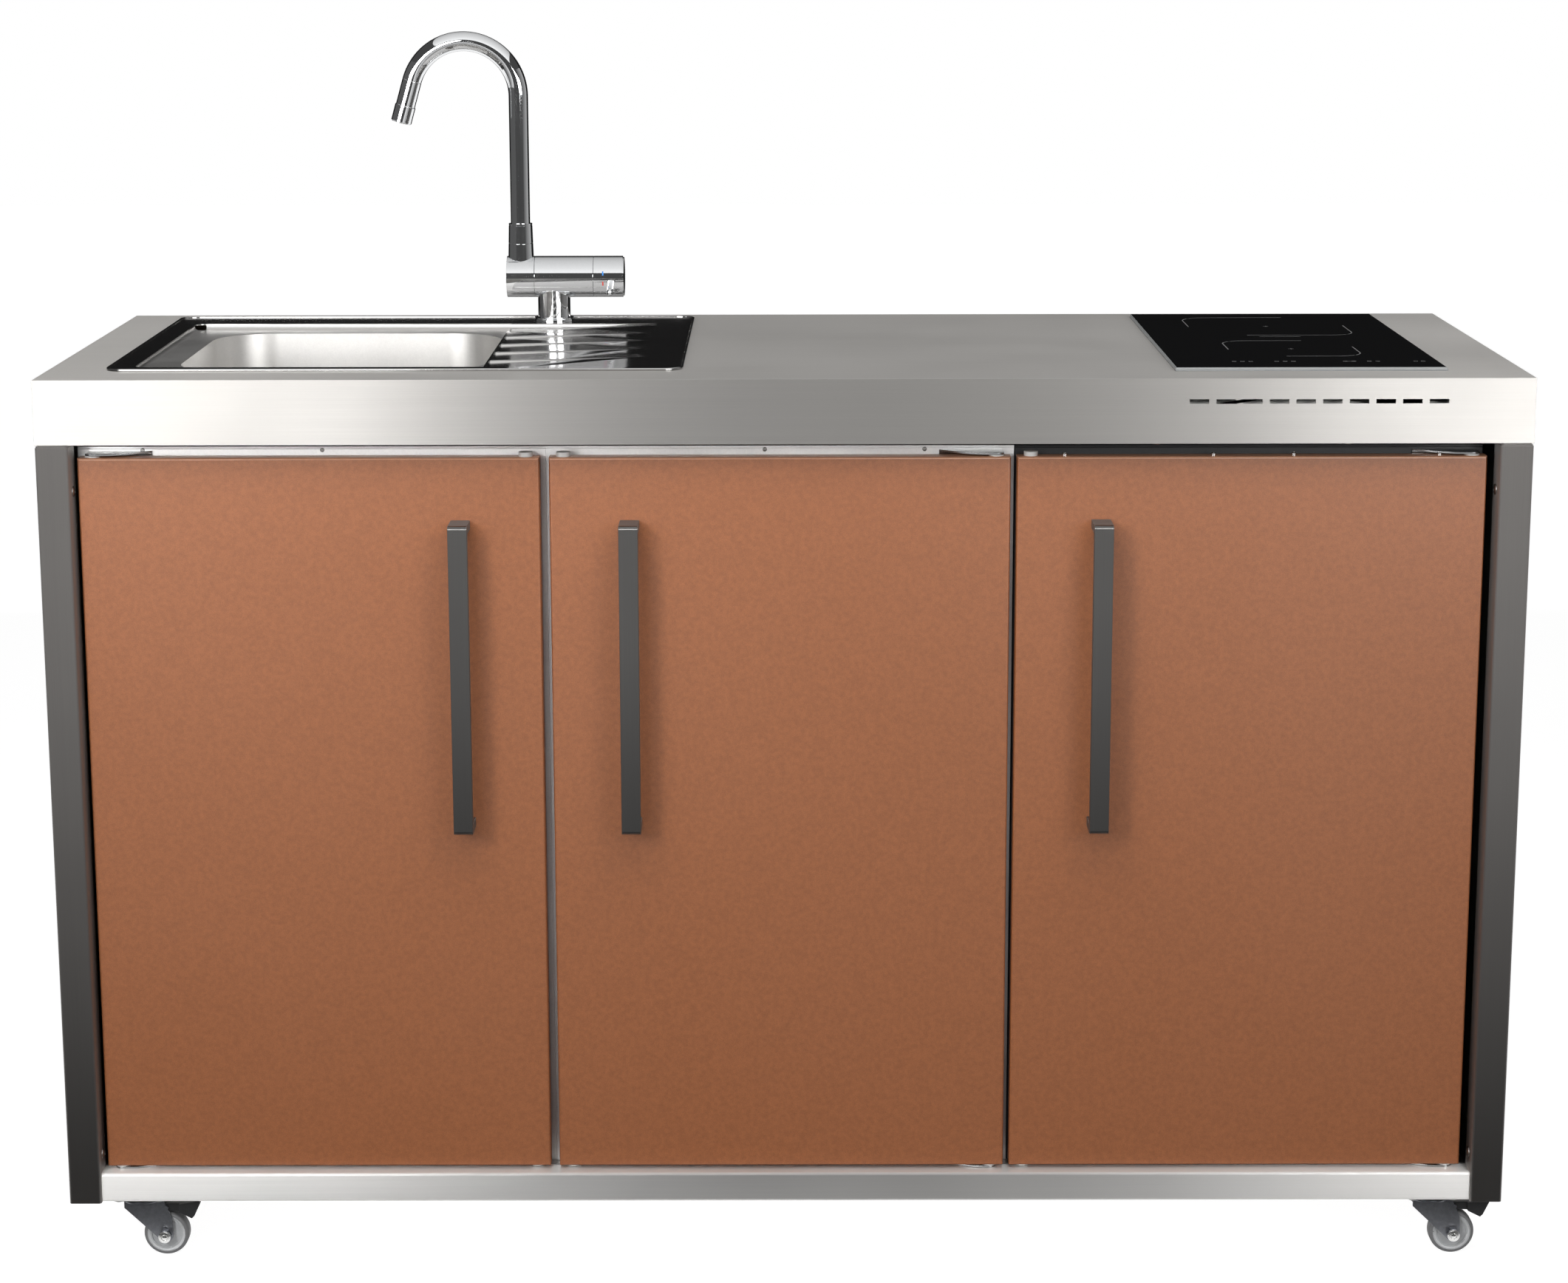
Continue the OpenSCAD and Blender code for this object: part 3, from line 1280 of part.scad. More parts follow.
// White pivot bushes on the hinge side of a door, and plugs in the holes of the other side
module door_bushes(x, w, pivot_x) {
    plug_x = 2 * (x + w / 2) - pivot_x;
    color("#f4f4f2") {
        translate([pivot_x, y_pivot, z_door_top]) bush(bush_h);
        translate([pivot_x, y_pivot, z_door]) mirror([0, 0, 1]) bush(low_bush_h);
        translate([plug_x, y_pivot, z_door_top]) plug(plug_h);
        translate([plug_x, y_pivot, z_door]) mirror([0, 0, 1]) plug(low_bush_h);
    }
}
arm_gap = 0.2;
low_bush_h = door_low_gap - arm_t - 2.5 * arm_gap;
module bush(h) {
    difference() {
        union() {
            cylinder(d = bush_d, h = h);
            translate([0, 0, -pivot_l - 2]) cylinder(d = bush_hole - 0.04, h = pivot_l + 3);
        }
        translate([0, 0, -pivot_l]) cylinder(r = pivot_d / 2 + pivot_play, h = pivot_l + 10);
    }
}
module plug(h) {
    cylinder(d = bush_d - 1, h = h);
    translate([0, 0, -pivot_l]) cylinder(d = bush_hole - 0.04, h = pivot_l + 1);
}
module left_door_bushes() door_bushes(left_door_x, door_w, left_pivot_x);
module middle_door_bushes() door_bushes(middle_door_x, door_w, middle_pivot_x);
module right_door_bushes() door_bushes(right_door_x, fridge_door_w, right_pivot_x);

// Hinge arm with its pin and tab, made for the top of a door; the arm runs along +X
module hinge_bracket(collar) {
    dy = y_cabinet - y_pivot;
    r = bush_d / 2;
    translate([0, 0, collar + arm_gap]) {
        linear_extrude(arm_t) {
            circle(r);
            polygon([[0, -r], [arm_l * 0.3, -r + 1.5], [arm_l * 0.62, 1], [arm_l, dy - arm_t],
                [arm_l, dy], [-r, dy], [-r, 0]]);
        }
        translate([r, dy - arm_t, arm_t - tab_h]) cube([arm_l - r, arm_t, tab_h]);
        translate([0, 0, -collar - arm_gap - pivot_l + 1])
            cylinder(d = pivot_d, h = pivot_l + collar + arm_gap);
    }
}

// The six chrome hinge brackets of the three doors
module hinge_brackets() {
    color("#c9cacb") for (p = [[left_pivot_x, 0], [middle_pivot_x, 1], [right_pivot_x, 1]])
        translate([p[0], y_pivot, 0]) mirror([p[1], 0, 0]) {
            translate([0, 0, z_door_top]) hinge_bracket(bush_h);
            translate([0, 0, z_door]) mirror([0, 0, 1]) hinge_bracket(low_bush_h);
        }
}

// Places the children at castor sx, sy
module at_castor(sx, sy) translate([sx * castor_x, sy * castor_y, 0]) children();

// Top plates of the four castors, each with its upper race and riveted swivel pin
module castor_plates() {
    color("#a8aaad") for (sx = [-1, 1], sy = [-1, 1]) at_castor(sx, sy) {
        difference() {
            translate([0, 0, z_plate]) linear_extrude(plate_t) rounded(plate_w, plate_w, 5);
            for (x = [-1, 1], y = [-1, 1])
                translate([x * plate_screw, y * plate_screw, z_plate]) screw_hole(4 * plate_t);
        }
        translate([0, 0, z_fork + 0.3]) rotate_extrude() {
            square([17, z_plate - z_fork - 0.3]);
            translate([0, 1.5]) square([21, z_plate - z_fork - 1.8 + eps]);
        }
        translate([0, 0, z_fork - fork_t - 3.8]) cylinder(d = kingpin_d, h = 10);
        translate([0, 0, z_fork - fork_t - 3.8]) cylinder(d = kingpin_d + 5, h = 3.4);
    }
}

// Outline of a fork leg: from the swivel race down to the axle behind it
leg_r = 8.5;
module leg_outline() {
    polygon([[-19, z_fork], [-19, z_fork - 9], [trail - leg_r * 0.7, z_axle - leg_r * 0.7],
        [trail + leg_r, z_axle], [trail + leg_r - 1, z_axle + 20], [trail - 2, z_fork]]);
    translate([trail, z_axle]) circle(leg_r);
}

// Swivelling fork with two legs, the axle bolt and the pin of the brake pedal
module fork(sx, sy, brake) {
    color("#6a6d72") at_castor(sx, sy) {
        difference() {
            union() {
                translate([0, 0, z_fork - fork_t]) rotate_extrude() {
                    square([20, fork_t]);
                    square([22, fork_t - 0.6]);
                }
                for (y = [-1, 1]) translate([0, y * (fork_in + fork_t / 2), 0])
                    rotate([90, 0, 0]) linear_extrude(fork_t, center = true) leg_outline();
                translate([-19, -fork_in - eps, z_fork - fork_t])
                    cube([trail + 14, 2 * fork_in + 2 * eps, fork_t]);
            }
            translate([0, 0, z_fork - 10]) cylinder(r = kingpin_d / 2 + castor_play, h = 20);
        }
        translate([trail, 0, z_axle]) rotate([90, 0, 0]) {
            cylinder(d = axle_d, h = 2 * (fork_in + fork_t) + 2, center = true);
            for (y = [-1, 1]) translate([0, 0, y * (fork_in + fork_t + 2)])
                cylinder(d = 13, h = 4, center = true, $fn = 6);
        }
        if (brake) translate([pedal_x, 0, pedal_z]) rotate([90, 0, 0])
            cylinder(d = pedal_pin_d, h = 2 * (fork_in + fork_t) + 2, center = true);
    }
}
pedal_x = trail + 2;
pedal_z = z_fork - 9;
pedal_pin_d = 4;
module front_left_fork() fork(-1, -1, true);
module front_right_fork() fork(1, -1, true);
module back_left_fork() fork(-1, 1, false);
module back_right_fork() fork(1, 1, false);

// Wheel: crowned tyre round a recessed hub with a bore
module wheel(sx, sy) {
    r = wheel_d / 2;
    w = wheel_w / 2;
    color("#8e9297") at_castor(sx, sy) translate([trail, 0, z_axle]) rotate([90, 0, 0])
        rotate_extrude() difference() {
            union() {
                translate([0, -w + 1]) square([hub_d / 2 + 1, 2 * w - 2]);
                translate([hub_d / 2, -w + 2]) square([r - hub_d / 2 - 2, 2 * w - 4]);
                translate([hub_d / 2, -w + 4]) square([r - hub_d / 2, 2 * w - 8]);
                translate([hub_d / 2, -w]) square([r - hub_d / 2 - 4, 2 * w]);
                for (y = [-1, 1]) translate([r - 4, y * (w - 4)]) circle(4);
                translate([0, -w]) square([axle_d / 2 + 4, 2 * w]);
            }
            square([2 * (axle_d / 2 + castor_play), 4 * w], center = true);
            for (y = [-1, 1]) translate([axle_d / 2 + 4 + (hub_d / 2 - axle_d / 2 - 7) / 2, y * w])
                square([hub_d / 2 - axle_d / 2 - 7, 5], center = true);
        }
}
module front_left_wheel() wheel(-1, -1);
module front_right_wheel() wheel(1, -1);
module back_left_wheel() wheel(-1, 1);
module back_right_wheel() wheel(1, 1);

// Brake pedal: hub on its pin, narrow neck between the legs and a wide foot plate with a cam
module brake_pedal(sx) {
    neck = 2 * fork_in - 0.6;
    color("#1d1e20") at_castor(sx, -1) difference() {
        rotate([90, 0, 0]) union() {
            linear_extrude(neck, center = true) {
                translate([pedal_x, pedal_z]) circle(4.5);
                polygon([[pedal_x, pedal_z + 4.5], [pedal_x + 20, pedal_z + 4.5],
                    [pedal_x + 20, pedal_z - 5], [pedal_x, pedal_z - 4.5]]);
            }
            linear_extrude(neck + 8, center = true)
                polygon([[pedal_x + 14, pedal_z + 4.5], [pedal_x + 37, pedal_z + 9],
                    [pedal_x + 38, pedal_z + 6], [pedal_x + 31, pedal_z - 9],
                    [pedal_x + 28, pedal_z - 12], [pedal_x + 24, pedal_z - 10],
                    [pedal_x + 14, pedal_z - 5]]);
        }
        translate([pedal_x, 0, pedal_z]) rotate([90, 0, 0])
            cylinder(r = pedal_pin_d / 2 + castor_play, h = 60, center = true);
    }
}
module left_brake_pedal() brake_pedal(-1);
module right_brake_pedal() brake_pedal(1);

// The handles stand out in front, so the middle of the whole lies in front of the frame's middle
module placed() translate([0, y_middle, 0]) children();

placed() worktop();
placed() worktop_core();
placed() worktop_frame();
placed() front_left_post();
placed() front_right_post();
placed() back_left_post();
placed() back_right_post();
placed() long_rails();
placed() side_rails();
placed() base_pan();
placed() side_panels();
placed() back_panel();
placed() frame_screws();
placed() left_cabinet();
placed() middle_cabinet();
placed() cabinet_shelf();
placed() sink();
placed() sink_waste();
placed() strainer_basket();
placed() drain_trap();
placed() tap_body();
placed() tap_fold();
placed() tap_spout();
placed() tap_aerator();
placed() tap_cap();
placed() tap_lever();
placed() hob_glass();
placed() hob_case();
placed() hob_coils();
placed() fridge_body();
placed() fridge_liner();
placed() fridge_shelves();
placed() fridge_gasket();
placed() compressor();
placed() thermostat_knob();
placed() service_inlets();
placed() left_door();
placed() left_door_liner();
placed() left_handle();
placed() left_door_bushes();
placed() middle_door();
placed() middle_door_liner();
placed() middle_handle();
placed() middle_door_bushes();
placed() right_door();
placed() right_door_liner();
placed() right_handle();
placed() right_door_bushes();
placed() hinge_brackets();
placed() castor_plates();
placed() front_left_fork();
placed() front_right_fork();
placed() back_left_fork();
placed() back_right_fork();
placed() front_left_wheel();
placed() front_right_wheel();
placed() back_left_wheel();
placed() back_right_wheel();
placed() left_brake_pedal();
placed() right_brake_pedal();
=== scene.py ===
"""Outdoor kitchen unit: steel worktop with sink, folding tap and touch hob over copper-brown doors."""
import json
import math

import bmesh
import bpy
from mathutils import Matrix, Vector


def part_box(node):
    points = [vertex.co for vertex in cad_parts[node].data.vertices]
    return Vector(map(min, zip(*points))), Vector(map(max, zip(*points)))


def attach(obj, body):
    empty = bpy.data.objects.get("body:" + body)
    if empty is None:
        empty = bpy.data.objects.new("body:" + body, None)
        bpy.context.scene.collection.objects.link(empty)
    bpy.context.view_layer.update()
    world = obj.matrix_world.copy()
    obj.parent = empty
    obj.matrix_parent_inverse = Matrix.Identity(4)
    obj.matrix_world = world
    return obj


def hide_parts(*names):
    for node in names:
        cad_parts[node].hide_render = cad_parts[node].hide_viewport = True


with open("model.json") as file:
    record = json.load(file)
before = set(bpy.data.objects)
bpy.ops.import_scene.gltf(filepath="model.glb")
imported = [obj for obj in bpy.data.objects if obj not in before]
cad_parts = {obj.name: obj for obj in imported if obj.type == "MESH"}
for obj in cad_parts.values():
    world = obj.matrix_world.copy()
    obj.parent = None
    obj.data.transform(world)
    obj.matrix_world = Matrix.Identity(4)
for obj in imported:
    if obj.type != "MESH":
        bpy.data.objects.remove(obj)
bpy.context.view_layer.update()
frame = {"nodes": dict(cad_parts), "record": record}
NODES = frame["nodes"]
BODY_OF = {n: b for b, members in frame["record"]["behaviour"]["bodies"].items() for n in members}
SLOT_OF = {s["node"]: s["material_slot"] for s in frame["record"]["subparts"]}
SCENE = bpy.context.scene
MM = 0.001
WORKTOP_MIDDLE_Y = 11.0  # mm that the worktop's middle lies behind the origin
CORNERS = ("front_left", "front_right", "back_left", "back_right")

# ---------------------------------------------------------------- node tree helpers


def put(tree, kind, values=None, **settings):
    """A new node: settings are its properties, values its inputs, each a number, colour or socket."""
    node = tree.nodes.new(kind)
    for key, value in settings.items():
        setattr(node, key, value)
    for key, value in (values or {}).items():
        if isinstance(value, bpy.types.NodeSocket):
            tree.links.new(value, node.inputs[key])
        else:
            node.inputs[key].default_value = value
    return node


def new_group(name, kind, inputs, outputs):
    """A node group with named sockets; returns the group, its input node and its output node."""
    group = bpy.data.node_groups.new(name, kind)
    for label, socket_type, default in inputs:
        socket = group.interface.new_socket(label, in_out="INPUT", socket_type=socket_type)
        if default is not None:
            socket.default_value = default
    for label, socket_type in outputs:
        group.interface.new_socket(label, in_out="OUTPUT", socket_type=socket_type)
    return group, group.nodes.new("NodeGroupInput"), group.nodes.new("NodeGroupOutput")


def spread(tree, value, low, high, to_low=0.0, to_high=1.0):
    """Value between low and high mapped to to_low and to_high."""
    return put(tree, "ShaderNodeMapRange", {"Value": value, "From Min": low, "From Max": high,
                                            "To Min": to_low, "To Max": to_high}).outputs["Result"]


def blend_value(tree, factor, a, b):
    """a at factor 0, b at factor 1."""
    return put(tree, "ShaderNodeMix", {0: factor, 2: a, 3: b}, data_type="FLOAT").outputs[0]


def blend_colour(tree, factor, a, b):
    """Colour a at factor 0, b at factor 1."""
    return put(tree, "ShaderNodeMix", {0: factor, 6: a, 7: b}, data_type="RGBA").outputs[2]


def rgba(colour):
    """The colour with its alpha."""
    return (*colour, 1.0) if len(colour) == 3 else colour


def shade(colour, by):
    """The colour made lighter or darker by a factor."""
    return (*[min(1.0, c * by) for c in colour[:3]], 1.0)


# ---------------------------------------------------------------- shader groups


def brushing_group():
    """Long fine lines of a brushed sheet, with the number of lines per metre along each axis."""
    g, i, o = new_group("Brushing", "ShaderNodeTree",
                        [("Lines", "NodeSocketVector", (4.0, 900.0, 900.0))],
                        [("Tone", "NodeSocketFloat"), ("Height", "NodeSocketFloat")])
    place = put(g, "ShaderNodeTexCoord").outputs["Object"]
    lined = put(g, "ShaderNodeVectorMath", {0: place, 1: i.outputs["Lines"]}, operation="MULTIPLY")
    fine = put(g, "ShaderNodeTexNoise", {"Vector": lined.outputs["Vector"], "Scale": 1.0,
                                         "Detail": 3.0, "Roughness": 0.65})
    wide = put(g, "ShaderNodeTexNoise", {"Vector": lined.outputs["Vector"], "Scale": 0.11,
                                         "Detail": 2.0})
    both = blend_value(g, 0.4, fine.outputs["Fac"], wide.outputs["Fac"])
    g.links.new(spread(g, both, 0.3, 0.7), o.inputs["Tone"])
    g.links.new(fine.outputs["Fac"], o.inputs["Height"])
    return g


def handling_group():
    """Faint cloudy marks of wiping and hands."""
    g, i, o = new_group("Handling", "ShaderNodeTree",
                        [("Size", "NodeSocketFloat", 6.0)], [("Marks", "NodeSocketFloat")])
    place = put(g, "ShaderNodeTexCoord").outputs["Object"]
    cloud = put(g, "ShaderNodeTexNoise", {"Vector": place, "Scale": i.outputs["Size"],
                                          "Detail": 3.0, "Roughness": 0.5})
    g.links.new(spread(g, cloud.outputs["Fac"], 0.15, 0.85), o.inputs["Marks"])
    return g


def grain_group():
    """Fine grain of a textured coat or a moulded surface, with its grains per metre."""
    g, i, o = new_group("Grain", "ShaderNodeTree",
                        [("Grains", "NodeSocketFloat", 900.0)],
                        [("Tone", "NodeSocketFloat"), ("Height", "NodeSocketFloat")])
    place = put(g, "ShaderNodeTexCoord").outputs["Object"]
    fine = put(g, "ShaderNodeTexNoise", {"Vector": place, "Scale": i.outputs["Grains"],
                                         "Detail": 2.0, "Roughness": 0.55})
    coarse = put(g, "ShaderNodeMath", {0: i.outputs["Grains"], 1: 0.22}, operation="MULTIPLY")
    coarse = put(g, "ShaderNodeTexNoise", {"Vector": place, "Scale": coarse.outputs[0], "Detail": 3.0})
    both = blend_value(g, 0.35, fine.outputs["Fac"], coarse.outputs["Fac"])
    g.links.new(spread(g, both, 0.36, 0.64), o.inputs["Tone"])
    g.links.new(fine.outputs["Fac"], o.inputs["Height"])
    return g


BRUSHING, HANDLING, GRAIN = brushing_group(), handling_group(), grain_group()

# ---------------------------------------------------------------- materials


def new_material(name, **constants):
    """A material with its Principled shader; constants are values on the shader's own sockets."""
    material = bpy.data.materials.new(name)
    material.use_nodes = True
    tree = material.node_tree
    tree.nodes.clear()
    shader = put(tree, "ShaderNodeBsdfPrincipled", {k.replace("_", " ").title().replace("Ior", "IOR"): v
                                                    for k, v in constants.items()})
    out = put(tree, "ShaderNodeOutputMaterial")
    tree.links.new(shader.outputs["BSDF"], out.inputs["Surface"])
    return material, tree, shader


def use_group(tree, group, **values):
    """A group in a material's tree, with its inputs' values."""
    node = put(tree, "ShaderNodeGroup", node_tree=group)
    for key, value in values.items():
        node.inputs[key].default_value = value
    return node


def bump(tree, shader, height, strength, depth_mm):
    """Fine relief on the shader's normal."""
    made = put(tree, "ShaderNodeBump", {"Height": height, "Strength": strength, "Distance": depth_mm * MM})
    tree.links.new(made.outputs["Normal"], shader.inputs["Normal"])


def brushed_steel(name, colour, lines, roughness=0.42, stretch=0.95, contrast=0.06):
    """Brushed stainless: lines along one axis, highlights drawn out across them."""
    material, tree, shader = new_material(name, metallic=1.0, anisotropic=stretch)
    brush = use_group(tree, BRUSHING, Lines=lines)
    marks = use_group(tree, HANDLING, Size=5.0)
    tone = blend_colour(tree, brush.outputs["Tone"], shade(colour, 1 - contrast), shade(colour, 1 + contrast))
    tone = blend_colour(tree, marks.outputs["Marks"], tone, shade(colour, 0.97))
    tree.links.new(tone, shader.inputs["Base Color"])
    tree.links.new(spread(tree, marks.outputs["Marks"], 0, 1, roughness * 0.9, roughness * 1.15),
                   shader.inputs["Roughness"])
    tangent = put(tree, "ShaderNodeTangent", direction_type="UV_MAP", uv_map="brush")
    tree.links.new(tangent.outputs["Tangent"], shader.inputs["Tangent"])
    bump(tree, shader, brush.outputs["Height"], 0.12, 0.05)
    return material


def plain_metal(name, colour, roughness=0.3, contrast=0.05, grains=500.0):
    """Pressed or plated metal with a faint grain."""
    material, tree, shader = new_material(name, metallic=1.0)
    grain = use_group(tree, GRAIN, Grains=grains)
    marks = use_group(tree, HANDLING, Size=11.0)
    tone = blend_colour(tree, grain.outputs["Tone"], shade(colour, 1 - contrast), shade(colour, 1 + contrast))
    tree.links.new(tone, shader.inputs["Base Color"])
    tree.links.new(spread(tree, marks.outputs["Marks"], 0, 1, roughness * 0.85, roughness * 1.2),
                   shader.inputs["Roughness"])
    bump(tree, shader, grain.outputs["Height"], 0.08, 0.02)
    return material


def textured_coat(name, colour, roughness=0.5, contrast=0.1, grains=900.0, relief=0.3, specular=0.5):
    """Powder coat with a fine texture: speckled tone and an orange-peel relief."""
    material, tree, shader = new_material(name, specular_ior_level=specular)
    grain = use_group(tree, GRAIN, Grains=grains)
    marks = use_group(tree, HANDLING, Size=3.0)
    tone = blend_colour(tree, grain.outputs["Tone"], shade(colour, 1 - contrast), shade(colour, 1 + contrast))
    tree.links.new(tone, shader.inputs["Base Color"])
    tree.links.new(spread(tree, marks.outputs["Marks"], 0, 1, roughness * 0.92, roughness * 1.1),
                   shader.inputs["Roughness"])
    bump(tree, shader, grain.outputs["Height"], relief, 0.15)
    return material


def smooth_surface(name, colour, roughness=0.3, contrast=0.03, grains=700.0, relief=0.05, **constants):
    """Moulded or glazed surface: even tone with faint marks."""
    material, tree, shader = new_material(name, **constants)
    grain = use_group(tree, GRAIN, Grains=grains)
    marks = use_group(tree, HANDLING, Size=8.0)
    tone = blend_colour(tree, grain.outputs["Tone"], shade(colour, 1 - contrast), shade(colour, 1 + contrast))
    tree.links.new(tone, shader.inputs["Base Color"])
    tree.links.new(spread(tree, marks.outputs["Marks"], 0, 1, roughness * 0.8, roughness * 1.25),
                   shader.inputs["Roughness"])
    bump(tree, shader, grain.outputs["Height"], relief, 0.05)
    return material


def pressed_board(name, colour):
    """Moisture-proof board: streaky chips."""
    material, tree, shader = new_material(name)
    brush = use_group(tree, BRUSHING, Lines=(60.0, 180.0, 180.0))
    tree.links.new(blend_colour(tree, brush.outputs["Tone"], shade(colour, 0.7), shade(colour, 1.25)),
                   shader.inputs["Base Color"])
    tree.links.new(spread(tree, brush.outputs["Tone"], 0, 1, 0.6, 0.8), shader.inputs["Roughness"])
    bump(tree, shader, brush.outputs["Height"], 0.4, 0.3)
    return material


def clear_glass(name, colour):
    """See-through glass with wiping marks in its polish."""
    material, tree, shader = new_material(name, transmission_weight=1.0, ior=1.5)
    marks = use_group(tree, HANDLING, Size=9.0)
    tree.links.new(blend_colour(tree, marks.outputs["Marks"], rgba(colour), shade(colour, 0.97)),
                   shader.inputs["Base Color"])
    tree.links.new(spread(tree, marks.outputs["Marks"], 0, 1, 0.01, 0.06), shader.inputs["Roughness"])
    return material


# after the colour: brushed_steel takes lines and roughness; plain_metal roughness, contrast and grains;
# textured_coat and smooth_surface roughness, contrast, grains and relief, and textured_coat also the
# strength of its reflections
ALONG_X, ALONG_Y, ALONG_Z = (5.0, 1100.0, 1100.0), (1100.0, 5.0, 1100.0), (1100.0, 1100.0, 5.0)
TOP_STEEL = (0.70, 0.678, 0.65)
# the posts' steel, darker than the fascia's same stainless: painted shade
POST_STEEL_SHADED = (0.40, 0.38, 0.365)
steel_top_x = brushed_steel("Fascia steel", TOP_STEEL, ALONG_X)
# the worktop's top takes a darker copy of the fascia's steel: painted shade
steel_top = brushed_steel("Worktop steel", (0.50, 0.485, 0.466), ALONG_X)
# a near-white copy of the worktop's steel for its softened front edge: a painted highlight
steel_edge_highlight = brushed_steel("Worktop edge, painted highlight", (0.92, 0.905, 0.885), ALONG_X, 0.3)
steel_top_y = brushed_steel("Worktop steel, sides", TOP_STEEL, ALONG_Y)
steel_post = brushed_steel("Post steel, painted shade", POST_STEEL_SHADED, ALONG_Z)
# the long rails' steel, lighter than the side rails' and posts' same tube: painted light
steel_rail_x = brushed_steel("Rail steel", (0.88, 0.865, 0.845), ALONG_X)
steel_rail_y = brushed_steel("Side rail steel", (0.62, 0.605, 0.585), ALONG_Y)
steel_panel = brushed_steel("Panel steel", (0.5, 0.49, 0.475), ALONG_Z)
# the handles' stainless steel darkened to near black: painted shade
steel_handle = brushed_steel("Handle steel, painted shade", (0.235, 0.228, 0.221), ALONG_Z)
steel_pan = plain_metal("Pan steel", (0.5, 0.49, 0.475), 0.4)
steel_sink = plain_metal("Sink steel", (0.84, 0.826, 0.807), 0.36, 0.03, 800.0)
steel_rim = plain_metal("Sink rim steel", (0.62, 0.61, 0.60), 0.13, 0.03, 800.0)
bright_zinc = plain_metal("Bright zinc", (0.72, 0.72, 0.71), 0.2, 0.06, 300.0)
hub_ring_plastic = smooth_surface("Hub ring", (0.74, 0.75, 0.76), 0.3, 0.03, 500.0)
glass_edge = smooth_surface("Ground glass edge", (0.30, 0.31, 0.31), 0.3)
steel_screw = plain_metal("Screw steel", (0.3, 0.29, 0.28), 0.35)
zinc_dark = plain_metal("Dark zinc", (0.185, 0.19, 0.205), 0.36, 0.12, 260.0)
zinc_plate = plain_metal("Zinc plate", (0.5, 0.5, 0.49), 0.33, 0.12, 220.0)
chrome = plain_metal("Chrome", (0.86, 0.87, 0.88), 0.045, 0.01)
chrome_hinge = plain_metal("Hinge chrome", (0.48, 0.485, 0.49), 0.16, 0.04)
brass = plain_metal("Brass", (0.62, 0.48, 0.24), 0.28)
copper_coat = textured_coat("Copper-brown coat", (0.345, 0.115, 0.038), 0.42, 0.2, 1000.0, 0.35, 0.75)
# a lighter copy of the doors' copper coat for their up-facing faces: a painted highlight
copper_highlight = textured_coat("Copper-brown, painted highlight", (0.62, 0.30, 0.17), 0.38, 0.08, 1000.0, 0.2, 1.0)
# bright metal for the cabinets' front faces, which lie in the worktop's shade: painted light on the light
# grey coat
cabinet_front_light = plain_metal("Cabinet front, painted light", (0.92, 0.915, 0.905), 0.42, 0.03)
cabinet_coat = textured_coat("Light grey coat", (0.84, 0.845, 0.84), 0.4, 0.03, 700.0, 0.12)
black_coat = textured_coat("Black coat", (0.016, 0.016, 0.017), 0.42, 0.15, 500.0, 0.2)
fridge_coat = textured_coat("Fridge shell", (0.030, 0.031, 0.033), 0.45, 0.1, 600.0, 0.2)
white_plastic = smooth_surface("White plastic", (0.84, 0.84, 0.82), 0.34)
drain_plastic = smooth_surface("Drain plastic", (0.78, 0.78, 0.76), 0.4)
liner_plastic = smooth_surface("Fridge liner", (0.83, 0.845, 0.845), 0.2)
tyre_rubber = smooth_surface("Grey tread", (0.20, 0.20, 0.205), 0.55, 0.06, 500.0, 0.15)
hub_plastic = smooth_surface("Wheel hub", (0.56, 0.57, 0.58), 0.34, 0.04, 500.0)
seal_rubber = smooth_surface("Seal rubber", (0.07, 0.072, 0.076), 0.6, 0.08, 400.0, 0.15)
hob_black = smooth_surface("Black hob glass", (0.003, 0.003, 0.0035), 0.05, 0.1, 300.0, 0.0, ior=1.45)
hob_print = smooth_surface("Hob print", (0.24, 0.24, 0.24), 0.4)
coil_wire = textured_coat("Coil wire", (0.35, 0.14, 0.06), 0.4, 0.3, 400.0, 0.6)
red_mark = smooth_surface("Red mark", (0.75, 0.06, 0.04), 0.3)
blue_mark = smooth_surface("Blue mark", (0.03, 0.25, 0.75), 0.3)
core_board = pressed_board("Worktop board", (0.30, 0.23, 0.16))
shelf_glass = clear_glass("Shelf glass", (0.80, 0.92, 0.90))

# ---------------------------------------------------------------- piece helpers


def new_piece(name, mesh, body, slot, *materials, replaces=()):
    """Puts a mesh in the scene as a piece that rides on a body and stands for CAD nodes."""
    piece = bpy.data.objects.new(name, mesh)
    SCENE.collection.objects.link(piece)
    mesh.materials.clear()
    for material in materials:
        mesh.materials.append(material)
    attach(piece, body)
    if replaces:
        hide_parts(*replaces)
    return piece


def plain_mesh(piece):
    """The evaluated piece, modifiers and nodes included, as a mesh of its own."""
    graph = bpy.context.evaluated_depsgraph_get()
    return bpy.data.meshes.new_from_object(piece.evaluated_get(graph))


JOIN_WITHIN, FLAT_WITHIN = 0.004, 0.4  # mm between corners that are one; degrees between faces that are one


def merged_copy(node):
    """A CAD node's mesh with its loose triangles joined and its flat faces whole."""
    mesh = NODES[node].data.copy()
    for label in [a.name for a in mesh.attributes if a.name.startswith("custom_normal")]:
        mesh.attributes.remove(mesh.attributes[label])
    bm = bmesh.new()
    bm.from_mesh(mesh)
    bmesh.ops.remove_doubles(bm, verts=bm.verts, dist=JOIN_WITHIN * MM)
    bmesh.ops.dissolve_limit(bm, angle_limit=math.radians(FLAT_WITHIN), verts=bm.verts, edges=bm.edges)
    bm.to_mesh(mesh)
    bm.free()
    return mesh


def brush_map(mesh, direction):
    """UV map whose U runs across the brushing on every face, for the drawn-out highlights."""
    layer = mesh.uv_layers.new(name="brush")
    brush = Vector(direction)
    for face in mesh.polygons:
        across = face.normal.cross(brush)
        across = across.normalized() if across.length > 0.05 else Vector((0, 1, 0))
        along = across.cross(face.normal)
        for loop in face.loop_indices:
            point = mesh.vertices[mesh.loops[loop].vertex_index].co
            layer.data[loop].uv = (point.dot(across), point.dot(along))


